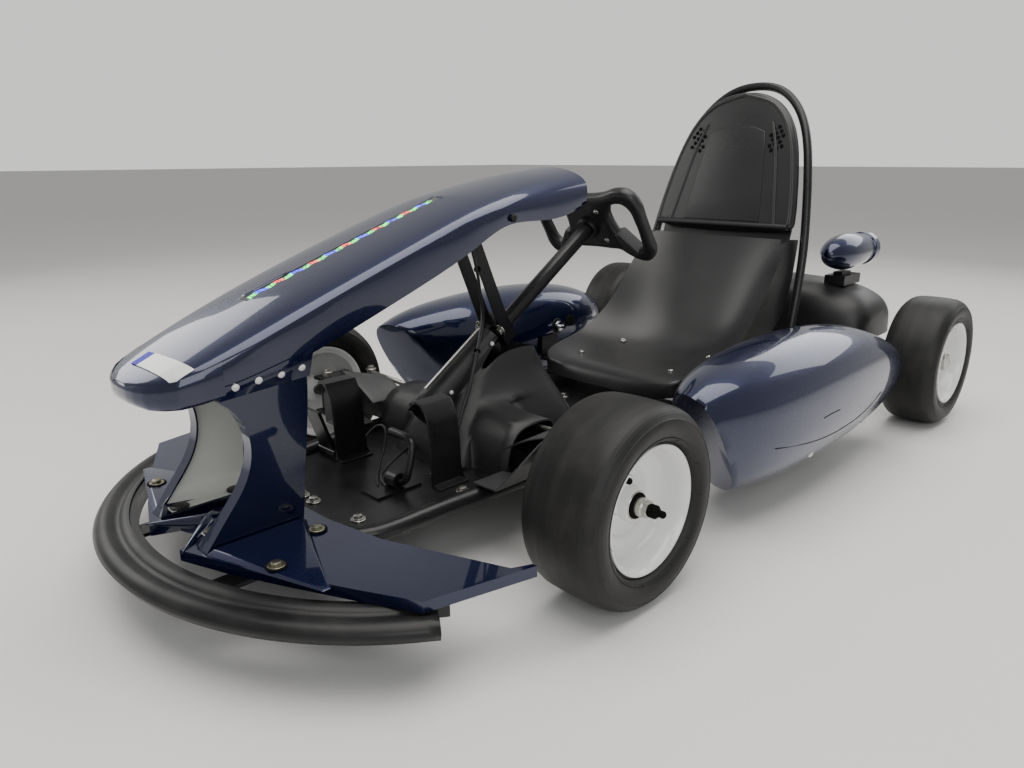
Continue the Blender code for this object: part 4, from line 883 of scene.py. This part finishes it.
for side in (1, -1):
    route = [headPlane @ Vector((side * x, y, headFace - 0.0015)) for x, y in headrest["ridge"]]
    ridges.append(cable("headrestRidge", route, 0.0042, seatPlastic, body=None))
    border = [headPlane @ Vector((side * x, y, headFace - 0.0032)) for x, y in headrest["border"]]
    ridges.append(cable("headrestBorder", border, 0.0052, seatPlastic, body=None))
lip = [headPlane @ Vector((x, 0.004, headFace - 0.001)) for x in (-0.152, -0.1, 0, 0.1, 0.152)]
ridges.append(cable("headrestLip", lip, 0.0065, seatPlastic, body=None))
shapes = joined(ridges, "headrestRibs")
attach(shapes, "chassis")
# the speaker holes are black discs laid on the solid panel: painted shade for the dark inside of each hole
speakerHoleShade = turned("speakerHoleShade", headrest["holeOutline"], blackPartsAndHoleShade, 16, 30)
holes = []
for side in (1, -1):
    for x, y in headrest["holes"]:
        place = (side * (0.083 + x * 0.00095), 0.158 + y * 0.00098, headFace + 0.0002)
        spot = headPlane @ Matrix.Translation(place) @ facing((0, 0, 1), (0, 0, 0))
        holes.append(copied(speakerHoleShade, "hole", spot))
bpy.data.objects.remove(speakerHoleShade)
holeShadeDiscs = joined(holes, "speakerHoleShades")
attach(holeShadeDiscs, "chassis")
backGrill = []
for row in range(4):
    rib = [headPlane @ Vector((x, 0.05 + row * 0.045, -headFace)) for x in (-0.10, -0.05, 0.05, 0.10)]
    backGrill.append(cable("backRib", rib, 0.0035, seatPlastic, body=None))
ribs = joined(backGrill, "headrestBackRibs")
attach(ribs, "chassis")
print("headrest made")

# fasteners
domeScrew = disc("domeScrew", 0.0058, 0.0, 0.0014, screwWhite, dome=0.0024, steps=28)
hexHead = hexNut("hexHead", 0.0110, 0.0052, zinc)
washerPart = disc("washerPart", 0.0098, 0.003, 0.0014, zinc, steps=32)
brassHead = hexNut("brassHead", 0.0110, 0.0042, yellowZinc)
brassWasher = disc("brassWasher", 0.0098, 0.003, 0.0014, yellowZinc, steps=32)
flangeScrew = disc("flangeScrew", 0.0044, 0.0, 0.0010, screwWhite, dome=0.0020, steps=28)
smallScrew = disc("smallScrew", 0.0034, 0.0, 0.0008, screwWhite, dome=0.0014, steps=24)
grommetBolt = disc("grommetBolt", 0.0118, 0.0, 0.0024, blackBolt, dome=0.0012, steps=36)
grommet = disc("grommet", 0.0125, 0.004, 0.0022, blackPartsAndHoleShade, steps=32)
blackHex = hexNut("blackHex", 0.0100, 0.0048, blackBolt)
socketOutline = ((0, 0.0001), (0, 0.0052), (0.0048, 0.0052), (0.0056, 0.0044), (0.0056, 0.0026), (0.0020, 0.0024),
                 (0.0020, 0.0001))
socketHead = turned("socketHead", socketOutline, zinc, 24, 30)
fastenerParts = {"dome": [domeScrew], "bolt": [grommet, brassWasher, brassHead], "small": [smallScrew],
                 "grommet": [grommetBolt], "zinc": [washerPart, hexHead], "black": [blackHex], "socket": [socketHead]}
# how far a part stands on the one below it
lifts = {"washerPart": 0.0012, "hexHead": 0.0022, "brassWasher": 0.0012, "brassHead": 0.0022}


def fasten(name, body, rows):
    # rows of (kind, place, direction)
    made = []
    for kind, place, direction in rows:
        outward = Vector(direction).normalized()
        for part in fastenerParts[kind]:
            lift = lifts.get(part.name, 0.0) - (0.0011 if kind == "zinc" else 0)
            made.append(copied(part, "part", facing(outward, at(*place) + outward * lift)))
    group = joined(made, name)
    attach(group, body)
    return group


def surfaceRow(skin, kind, points, lift=0.0):
    # puts fasteners on the nearest point of a piece, along its normal there
    rows = []
    for point in points:
        _, spot, normal, _ = skin.closest_point_on_mesh(at(*point))
        spot = spot + normal.normalized() * lift
        rows.append((kind, (spot.x, spot.y - shiftY, spot.z), normal))
    return rows


def onSide(side, points):
    return [(side * x, y, z) for x, y, z in points]


def bothSides(points):
    # each place on the left, then on the right
    return onSide(1, points) + onSide(-1, points)


boltPlaces = {
    "hoodSide": ((0.11, 0.073, 0.446),),
    "splitter": ((0.160, -0.356, 0.1042), (0.112, -0.276, 0.1020)),
    "lining": ((0.0465, -0.372, 0.1122), (0.0465, -0.298, 0.1122)),
    "seat": ((0.104, 0.479, 0.17), (-0.104, 0.479, 0.17), (0.100, 0.610, 0.16), (-0.100, 0.610, 0.16)),
    "floor": ((0.014, -0.221), (0.102, -0.211), (-0.102, -0.211), (-0.014, -0.221), (0.131, -0.06), (-0.131, -0.06),
              (0.06, 0.37), (-0.06, 0.37)),
    "podFoot": ((0.45, 0.41, 0.062), (0.45, 0.62, 0.066)),
    "podInside": ((0.24, 0.36, 0.12), (0.24, 0.62, 0.12)),
    "strut": ((0.06, 0.104, 0.262), (0.06, 0.02, 0.43)),
    "cover": ((-0.22, 0.94, 0.19), (-0.08, 0.94, 0.19), (0.08, 0.94, 0.19), (0.22, 0.94, 0.19), (-0.22, 1.13, 0.20),
              (0, 1.13, 0.20), (0.22, 1.13, 0.20)),
    "kingpin": ((0.290, 0, 0.1668), (0.284, 0.088, 0.1566)),
    "bearing": ((0.2, 0.965, 0.15), (0.2, 1.013, 0.15)),
}
upward = (0, 0, 1)
hoodSkin = bpy.data.objects["hoodSkin"]
seatSkin = bpy.data.objects["seatSkin"]
rearCover = bpy.data.objects["rearCoverSkin"]
podSkin = {1: bpy.data.objects["podSkin_left"], -1: bpy.data.objects["podSkin_right"]}
fasten("hoodSideBolts", "chassis", surfaceRow(hoodSkin, "black", bothSides(boltPlaces["hoodSide"])))
rows = [("bolt", place, upward) for place in bothSides(boltPlaces["splitter"])]
rows += [("grommet", place, upward) for place in bothSides(boltPlaces["lining"])]
fasten("splitterBolts", "chassis", rows)
fasten("seatBolts", "chassis", surfaceRow(seatSkin, "socket", boltPlaces["seat"], lift=-0.0012))
fasten("floorBolts", "chassis", [("zinc", (x, y, 0.0898), upward) for x, y in boltPlaces["floor"]])
podRows, strutRows, bearingRows = [], [], []
for side, hand in ((1, "left"), (-1, "right")):
    podRows += surfaceRow(podSkin[side], "dome", onSide(side, boltPlaces["podFoot"]))
    podRows += surfaceRow(podSkin[side], "zinc", onSide(side, boltPlaces["podInside"]))
    strutRows += surfaceRow(nodes["steering_strut_" + hand], "zinc", onSide(side, boltPlaces["strut"]))
    bearingRows += surfaceRow(nodes["axle_bearing_" + hand], "socket", onSide(side, boltPlaces["bearing"]))
fasten("podBolts", "chassis", podRows)
fasten("strutBolts", "chassis", strutRows)
fasten("coverBolts", "chassis", surfaceRow(rearCover, "black", boltPlaces["cover"]))
for side, hand in ((1, "left"), (-1, "right")):
    rows = [("zinc", place, upward) for place in onSide(side, boltPlaces["kingpin"])]
    fasten("kingpinNuts_" + hand, "knuckle_" + hand, rows)
fasten("bearingBolts", "chassis", bearingRows)
print("fasteners placed")

# lights, blank plate and side flanges on the hood
ledFacts = {"start": -0.2830, "end": 0.0120, "pitch": 0.0500, "sway": 0.0022, "size": 0.0056, "glow": 9.0}


def ledLens(name):
    # a dark glossy strip with a running pattern of green, blue and red lamps under it
    material, tree, shader, place = newMaterial(name)
    split = tree.nodes.new("ShaderNodeSeparateXYZ")
    wire(tree, place, split.inputs[0])
    along = addMath(tree, "SUBTRACT", split.outputs["Y"], ledFacts["start"] + shiftY)
    phase = addMath(tree, "FRACT", addMath(tree, "MULTIPLY", along, 1 / ledFacts["pitch"]))
    lamps = tree.nodes.new("ShaderNodeValToRGB")
    lamps.color_ramp.interpolation = "EASE"
    stops = ((0.0, (0.9, 0.05, 0.04)), (0.12, (0.02, 0.85, 0.12)), (0.26, (0.02, 0.85, 0.12)), (0.36, (0.02, 0.03, 1.0)),
             (0.56, (0.02, 0.03, 1.0)), (0.64, (0.02, 0.85, 0.12)), (0.78, (0.02, 0.85, 0.12)), (0.86, (0.9, 0.05, 0.04)))
    while len(lamps.color_ramp.elements) < len(stops):
        lamps.color_ramp.elements.new(0.5)
    for element, (position, colour) in zip(lamps.color_ramp.elements, stops):
        element.position = position
        element.color = (*colour, 1)
    wire(tree, phase, lamps.inputs["Fac"])
    wave = addMath(tree, "SINE", addMath(tree, "MULTIPLY", phase, 4 * math.pi))
    aside = addMath(tree, "ABSOLUTE",
                    addMath(tree, "SUBTRACT", split.outputs["X"], addMath(tree, "MULTIPLY", wave, ledFacts["sway"])))
    across = addRange(tree, aside, ledFacts["size"] * 0.55, ledFacts["size"], 1.0, 0.0)
    cells = tree.nodes.new("ShaderNodeTexVoronoi")
    cells.inputs["Scale"].default_value = 330
    wire(tree, place, cells.inputs["Vector"])
    dots = addRange(tree, cells.outputs["Distance"], 0.25, 0.62, 1.0, 0.12)
    within = addMath(tree, "MULTIPLY", addMath(tree, "GREATER_THAN", along, 0.004),
                     addMath(tree, "LESS_THAN", along, ledFacts["end"] - ledFacts["start"] - 0.004))
    lit = addMath(tree, "MULTIPLY", addMath(tree, "MULTIPLY", across, dots), within)
    wire(tree, addMix(tree, lit, (0.0, 0.0, 0.0), lamps.outputs["Color"]), shader.inputs["Emission Color"])
    shader.inputs["Emission Strength"].default_value = ledFacts["glow"]
    texture = useGroup(tree, grainGroup, place, Scale=240.0, Patches=12.0)
    wire(tree, addMix(tree, texture.outputs["Patch"], (0.006, 0.008, 0.014), (0.016, 0.018, 0.026)),
         shader.inputs["Base Color"])
    wire(tree, addRange(tree, texture.outputs["Patch"], 0.3, 0.7, 0.08, 0.18), shader.inputs["Roughness"])
    shader.inputs["Coat Weight"].default_value = 1.0
    return material


dress(nodes["light_strip"], ledLens("ledLens"))


def draped(name, across, along, placeOf, thick, material, smoothAngle=35, edge=0.0):
    # a grid laid point by point on a surface, then given its thickness
    deselectAll()
    bpy.ops.mesh.primitive_grid_add(x_subdivisions=across, y_subdivisions=along, size=2)
    sheet = bpy.context.active_object
    sheet.name = name
    for point in sheet.data.vertices:
        point.co = placeOf((point.co.x + 1) / 2, (point.co.y + 1) / 2)
    wall = sheet.modifiers.new("wall", "SOLIDIFY")
    wall.thickness = thick
    wall.offset = 0
    if edge:
        rounded = sheet.modifiers.new("edge", "BEVEL")
        rounded.width = edge
        rounded.segments = 2
        rounded.limit_method = "ANGLE"
        rounded.angle_limit = math.radians(50)
    applyAll(sheet)
    bpy.ops.object.mode_set(mode="EDIT")
    bpy.ops.mesh.select_all(action="SELECT")
    bpy.ops.mesh.normals_make_consistent(inside=False)
    bpy.ops.object.mode_set(mode="OBJECT")
    dress(sheet, material)
    smooth(sheet, smoothAngle)
    return sheet


def between(table, where, column):
    # a value from rows of numbers, straight between the rows
    for first, second in zip(table, table[1:]):
        if where <= second[0]:
            part = max(0.0, min(1.0, (where - first[0]) / (second[0] - first[0])))
            return first[column] + (second[column] - first[column]) * part
    return table[-1][column]


def onSkin(skin, point, lift):
    _, spot, normal, _ = skin.closest_point_on_mesh(point)
    return spot + normal * lift


hoodPlate = {"corners": ((-0.0180, -0.3935, 0.3190), (0.0760, -0.3835, 0.3135), (0.0700, -0.4060, 0.2990),
                         (-0.0180, -0.4140, 0.3090)), "band": 0.17, "thick": 0.0012, "lift": 0.0009}


def platePoint(u, v):
    farLeft, farRight, nearRight, nearLeft = (at(*corner) for corner in hoodPlate["corners"])
    flat = farLeft.lerp(farRight, u).lerp(nearLeft.lerp(nearRight, u), v)
    outward = Vector((0.22, -0.45, 0.865)).normalized()
    found, spot, _, _ = hoodSkin.ray_cast(flat + outward * 0.06, -outward)
    return spot + outward * hoodPlate["lift"] if found else flat


whitePlate = draped("numberPlate", 36, 12, lambda u, v: platePoint(hoodPlate["band"] + u * (1 - hoodPlate["band"]), v),
                    hoodPlate["thick"], plateWhite)
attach(whitePlate, "chassis")
bandPlate = draped("numberPlateBand", 8, 12, lambda u, v: platePoint(u * (hoodPlate["band"] - 0.004), v),
                   hoodPlate["thick"], plateBand)
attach(bandPlate, "chassis")

legFacts = {"low": 0.1021, "side": 0.0760, "slope": 0.0085 / 0.205, "wall": 0.0045}
legFrontLine = ((0.1021, -0.395), (0.140, -0.366), (0.164, -0.346), (0.186, -0.336), (0.207, -0.332), (0.226, -0.333),
                (0.245, -0.339), (0.262, -0.350), (0.277, -0.368))
legBackLine = ((0.1021, -0.272), (0.200, -0.262), (0.284, -0.254), (0.300, -0.254))
hoodSideLine = ((-0.404, 0.076, 0.2815), (-0.356, 0.091, 0.2835), (-0.269, 0.098, 0.3060), (-0.157, 0.100, 0.3480))


def legSide(z):
    return legFacts["side"] + (z - legFacts["low"]) * legFacts["slope"]


flangeFacts = {
    "front": -0.3650, "length": 0.1105, "seam": 0.2765, "seamSlope": 0.0753, "seamFrom": -0.3614, "thick": 0.0014,
    "screws": ((-0.3489, 0.2892), (-0.3217, 0.2914), (-0.2936, 0.2925), (-0.2667, 0.2955)),
}
liningFacts = {"top": 0.270, "bend": 0.1340, "fillet": 0.0225, "foot": 0.010, "inset": 0.0035, "thick": 0.0012}
for side, label in ((1, "left"), (-1, "right")):
    def flangePoint(u, v, side=side):
        # from the leg's outer face up over the hood's lower edge
        y = flangeFacts["front"] + flangeFacts["length"] * u
        seam = flangeFacts["seam"] + (y - flangeFacts["seamFrom"]) * flangeFacts["seamSlope"]
        low = between(hoodSideLine, y, 2)
        half = between(hoodSideLine, y, 1)
        foot = at(side * (legSide(seam) + 0.0016), y, seam)
        knee = onSkin(hoodSkin, at(side * (half + 0.004), y, low + 0.0010), 0.0011)
        top = onSkin(hoodSkin, at(side * (half + 0.004), y, low + 0.0085), 0.0008)
        return foot.lerp(knee, v / 0.6) if v < 0.6 else knee.lerp(top, (v - 0.6) / 0.4)

    flangeSkin = draped("hoodFlange_" + label, 20, 5, flangePoint, flangeFacts["thick"], paint, 60)
    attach(flangeSkin, "chassis")
    screws = []
    for y, z in flangeFacts["screws"]:
        _, spot, _, _ = flangeSkin.closest_point_on_mesh(at(side * 0.0975, y, z))
        outward = Vector((side, -0.12, 0.05)).normalized()
        screws.append(copied(flangeScrew, "screw", facing(outward, spot - outward * 0.0006)))
    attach(joined(screws, "flangeScrews_" + label), "chassis")

    def liningPoint(u, v, side=side):
        # down the leg's inner face, round a fillet and out over its foot
        if u < 0.6:
            z = liningFacts["top"] - (liningFacts["top"] - liningFacts["bend"]) * u / 0.6
            x = legSide(z) - legFacts["wall"]
        else:
            turn = min(1.0, (u - 0.6) / 0.25) * math.pi / 2
            inward = liningFacts["fillet"] * (1 - math.cos(turn))
            x = legSide(liningFacts["bend"]) - legFacts["wall"] - inward - liningFacts["foot"] * max(0.0, (u - 0.85) / 0.15)
            z = liningFacts["bend"] - liningFacts["fillet"] * math.sin(turn)
        front = between(legFrontLine, z, 1) + liningFacts["inset"]
        back = between(legBackLine, z, 1) - liningFacts["inset"]
        return at(side * x, front + (back - front) * v, z)

    lining = draped("legLining_" + label, 40, 16, liningPoint, liningFacts["thick"], legLining, 60)
    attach(lining, "chassis")
noseFacts = {"tip": -0.4365, "back": -0.360, "drop": 0.0095, "proud": 0.0009, "tuck": 0.003, "roll": 0.0045, "half": 0.091}
hoodRimLine = ((-0.4365, 0.0, 0.2955, 0.2860), (-0.4360, 0.018, 0.2955, 0.2860), (-0.4335, 0.032, 0.2965, 0.2850),
               (-0.428, 0.048, 0.2980, 0.2830), (-0.418, 0.0635, 0.3010, 0.2822), (-0.404, 0.076, 0.3045, 0.2815),
               (-0.382, 0.0855, 0.3120, 0.2825), (-0.356, 0.091, 0.3210, 0.2835))


def nosePoint(u, v):
    # round the hood's nose from one side to the other, with a rolled lower edge
    side = 1 if u >= 0.5 else -1
    reach = abs(u - 0.5) * 2
    y = noseFacts["tip"] + (noseFacts["back"] - noseFacts["tip"]) * reach ** 2
    half = between(hoodRimLine, y, 1)
    crease = between(hoodRimLine, y, 2)
    low = between(hoodRimLine, y, 3)
    fade = 1 - reach ** 3
    outward = Vector((side * half / noseFacts["half"], -(1 - reach) ** 0.5, 0))
    outward = outward.normalized() if outward.length > 0.001 else Vector((0, -1, 0))
    base = at(side * half, y, low)
    if v < 0.55:
        part = v / 0.55
        stand = noseFacts["proud"] - noseFacts["tuck"] * max(0.0, 1 - part * 4)
        return base + outward * stand + Vector((0, 0, (crease - low + 0.0005) * (1 - part)))
    turn = (v - 0.55) / 0.45 * math.pi / 2
    drop = noseFacts["drop"] * fade + 0.0012
    stand = noseFacts["proud"] - noseFacts["roll"] * (1 - math.cos(turn))
    return base + outward * stand - Vector((0, 0, drop * math.sin(turn)))


noseBand = draped("hoodNose", 64, 10, nosePoint, 0.0012, paint, 50)
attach(noseBand, "chassis")
print("hood fittings made")

# splitter ribs and the raised panels at the feet of the hood legs
ribFacts = {"tip": (0.054, -0.4150, 0.1012), "root": (-0.006, -0.3480, 0.1030)}
panelFacts = {"inner": 0.0795, "front": -0.3920, "back": -0.2730, "outer": (0.236, -0.3385, 0.1019), "rise": 0.0058,
              "top": 0.1019}
guardCorners = ((0.239, -0.0030, 0.1790), (0.204, 0.0600, 0.1650), (0.150, 0.0620, 0.1400), (0.152, -0.0030, 0.1400))
ribParts = []
for side in (1, -1):
    tip = at(side * ribFacts["tip"][0], *ribFacts["tip"][1:])
    root = at(side * ribFacts["root"][0], *ribFacts["root"][1:])
    reach = (root - tip).length
    outline = [(0, 0.0001), (reach * 0.25, 0.0036), (reach * 0.6, 0.0078), (reach * 0.95, 0.0104), (reach, 0.0098),
               (reach + 0.004, 0.0001)]
    rib = turned("rib", outline, paint, 32, 40)
    rib.data.transform(facing((root - tip).normalized(), tip))
    ribParts.append(rib)
ribs = joined(ribParts, "splitterRibs")
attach(ribs, "chassis")
for side, label in ((1, "left"), (-1, "right")):
    deselectAll()
    bpy.ops.mesh.primitive_cube_add(size=1)
    panel = bpy.context.active_object
    panel.name = "footPanel_" + label
    inner = panelFacts["inner"]
    top = panelFacts["top"]
    rise = panelFacts["rise"]
    outerX, outerY, outerZ = panelFacts["outer"]
    places = {
        (-1, -1, -1): (inner - 0.004, panelFacts["front"] - 0.006, top - 0.0015),
        (-1, 1, -1): (inner - 0.004, panelFacts["back"] + 0.006, top - 0.0015),
        (-1, -1, 1): (inner, panelFacts["front"] + 0.004, top + rise),
        (-1, 1, 1): (inner, panelFacts["back"] - 0.004, top + rise),
        (1, -1, -1): (outerX, outerY - 0.008, outerZ - 0.0015), (1, 1, -1): (outerX, outerY + 0.003, outerZ - 0.0015),
        (1, -1, 1): (outerX - 0.006, outerY - 0.006, outerZ + 0.0002),
        (1, 1, 1): (outerX - 0.006, outerY + 0.002, outerZ + 0.0002),
    }
    for corner in panel.data.vertices:
        key = tuple(1 if part > 0 else -1 for part in corner.co)
        x, y, z = places[key]
        corner.co = at(side * x, y, z)
    if side < 0:
        panel.data.flip_normals()
    rounded = panel.modifiers.new("edge", "BEVEL")
    rounded.width = 0.0012
    rounded.segments = 3
    applyAll(panel)
    dress(panel, paint)
    smooth(panel, 30)
    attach(panel, "chassis")

    def guardPoint(u, v, side=side):
        a, b, c, d = (at(side * x, y, z) for x, y, z in guardCorners)
        flat = a.lerp(b, u).lerp(d.lerp(c, u), v)
        return flat + Vector((0, 0, 0.004 * math.sin(math.pi * v)))

    guardBack = draped("guardPlate_" + label, 10, 10, guardPoint, 0.0020, guardGrey, 40, 0.0005)
    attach(guardBack, "chassis")
print("splitter details made")

# steering tower, toe hoops and their wiring
for node, name, sharp, material in (
    ("tower_cover", "towerSkin", 75, coverPlastic), ("toe_hoop_left", "toeHoop_left", 60, powderCoat),
    ("toe_hoop_right", "toeHoop_right", 60, powderCoat),
):
    skin = refined(node, name, 2, sharp, "chassis", smoothAngle=45)
    dress(skin, material)
towerSkin = bpy.data.objects["towerSkin"]
trimFacts = {"low": (-0.006, -0.0195, 0.2100), "high": (-0.006, 0.0930, 0.2830), "width": 0.0075, "thick": 0.0016}


def trimPoint(u, v):
    # a bright strip up the tower's front edge
    middle = at(*trimFacts["low"]).lerp(at(*trimFacts["high"]), u)
    return onSkin(towerSkin, middle + Vector(((v - 0.5) * trimFacts["width"], 0, 0)), 0.0009)


towerTrim = draped("towerTrim", 16, 3, trimPoint, trimFacts["thick"], zinc)
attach(towerTrim, "chassis")
rows = surfaceRow(towerSkin, "small", [(0.05, 0.094, 0.262), (0.06, 0.010, 0.200)])
rows += surfaceRow(towerSkin, "zinc", [(0.063, 0.134, 0.10), (-0.063, 0.134, 0.10)])
fasten("towerScrews", "chassis", rows)

wireRuns = {
    "hoodWire": (0.0023, "black",
                 ((0.046, 0.012, 0.450), (0.054, 0.028, 0.425), (0.048, 0.050, 0.375), (0.030, 0.074, 0.325),
                  (0.021, 0.088, 0.288), (0.0285, 0.066, 0.2475), (0.0385, 0.044, 0.2080), (0.050, 0.012, 0.165),
                  (0.060, -0.012, 0.130), (0.068, -0.040, 0.100), (0.075, -0.058, 0.0935))),
    "hoodWireTwin": (0.0019, "grey",
                     ((0.040, 0.010, 0.450), (0.047, 0.034, 0.425), (0.040, 0.058, 0.375), (0.024, 0.079, 0.330),
                      (0.016, 0.090, 0.291), (0.0235, 0.071, 0.2500), (0.0340, 0.049, 0.2095), (0.046, 0.018, 0.167),
                      (0.055, -0.006, 0.132), (0.060, -0.040, 0.100), (0.062, -0.060, 0.0932))),
    "pedalWire": (0.0024, "black",
                  ((-0.040, 0.010, 0.1000), (-0.024, -0.022, 0.1090), (0.000, -0.070, 0.1080), (0.013, -0.103, 0.1020),
                   (0.024, -0.122, 0.0960), (0.050, -0.128, 0.0935))),
    "pedalLoop": (0.0020, "black",
                  ((-0.098, -0.075, 0.0935), (-0.094, -0.058, 0.1150), (-0.078, -0.046, 0.1330), (-0.056, -0.048, 0.1330),
                   (-0.044, -0.060, 0.1120), (-0.022, -0.086, 0.0980), (0.010, -0.116, 0.0935), (0.040, -0.135, 0.0930))),
}
for name, (radius, colour, points) in wireRuns.items():
    cable(name, [at(*point) for point in points], radius, cableBlack if colour == "black" else cableGrey)
clips = []
clip = disc("clip", 0.0052, 0.0016, 0.004, blackPartsAndHoleShade, steps=20)
for index in (2, 5, 8):
    first = at(*wireRuns["hoodWire"][2][index])
    second = at(*wireRuns["hoodWireTwin"][2][index])
    direction = (at(*wireRuns["hoodWire"][2][index + 1]) - first).normalized()
    clips.append(copied(clip, "c", facing(direction, first.lerp(second, 0.5))))
bpy.data.objects.remove(clip)
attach(joined(clips, "wireClips"), "chassis")
print("tower and wiring made")

# pod seams, key surround and charge socket
podLines = {
    "seam": ((0.430, 0.285, 0.1256), (0.430, 0.3413, 0.1177), (0.430, 0.4133, 0.1085), (0.430, 0.4828, 0.1060),
             (0.430, 0.558, 0.1090), (0.430, 0.6139, 0.1190), (0.430, 0.6581, 0.1340)),
    "slit": ((0.440, 0.4137, 0.1475), (0.440, 0.441, 0.1500), (0.440, 0.4681, 0.1487)),
}
for side, label in ((1, "left"), (-1, "right")):
    skin = podSkin[side]
    lines = []
    for name, width in (("seam", 0.0011), ("slit", 0.0009)):
        route = [onSkin(skin, at(side * x, y, z), -0.0001) for x, y, z in podLines[name]]
        lines.append(cable(name, route, width, blackPartsAndHoleShade, body=None))
    groove = joined(lines, "podSeams_" + label)
    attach(groove, "chassis")
keySurround = disc("keySurround", 0.0165, 0.0112, 0.0016, blackBolt, dome=0.0006, steps=40)
_, spot, _, _ = podSkin[-1].closest_point_on_mesh(at(-0.236, 0.556, 0.1725))
keySurround.data.transform(facing((1, 0, 0), spot))
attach(keySurround, "chassis")
oval = disc("chargeSocket", 0.0125, 0.0, 0.003, blackPartsAndHoleShade, dome=0.001, steps=36)
oval.data.transform(Matrix.Diagonal((1, 1.5, 1, 1)))
_, spot, normal, _ = podSkin[-1].closest_point_on_mesh(at(-0.236, 0.606, 0.178))
oval.data.transform(facing(normal, spot - normal * 0.0008))
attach(oval, "chassis")
print("pod details made")

for part in [flangeScrew] + [part for kind in fastenerParts.values() for part in kind]:
    bpy.data.objects.remove(part)

for piece in list(bpy.context.scene.objects):
    if piece.type != "MESH" or piece in nodes.values() or piece is studioFloor or not piece.data.materials:
        continue

# close
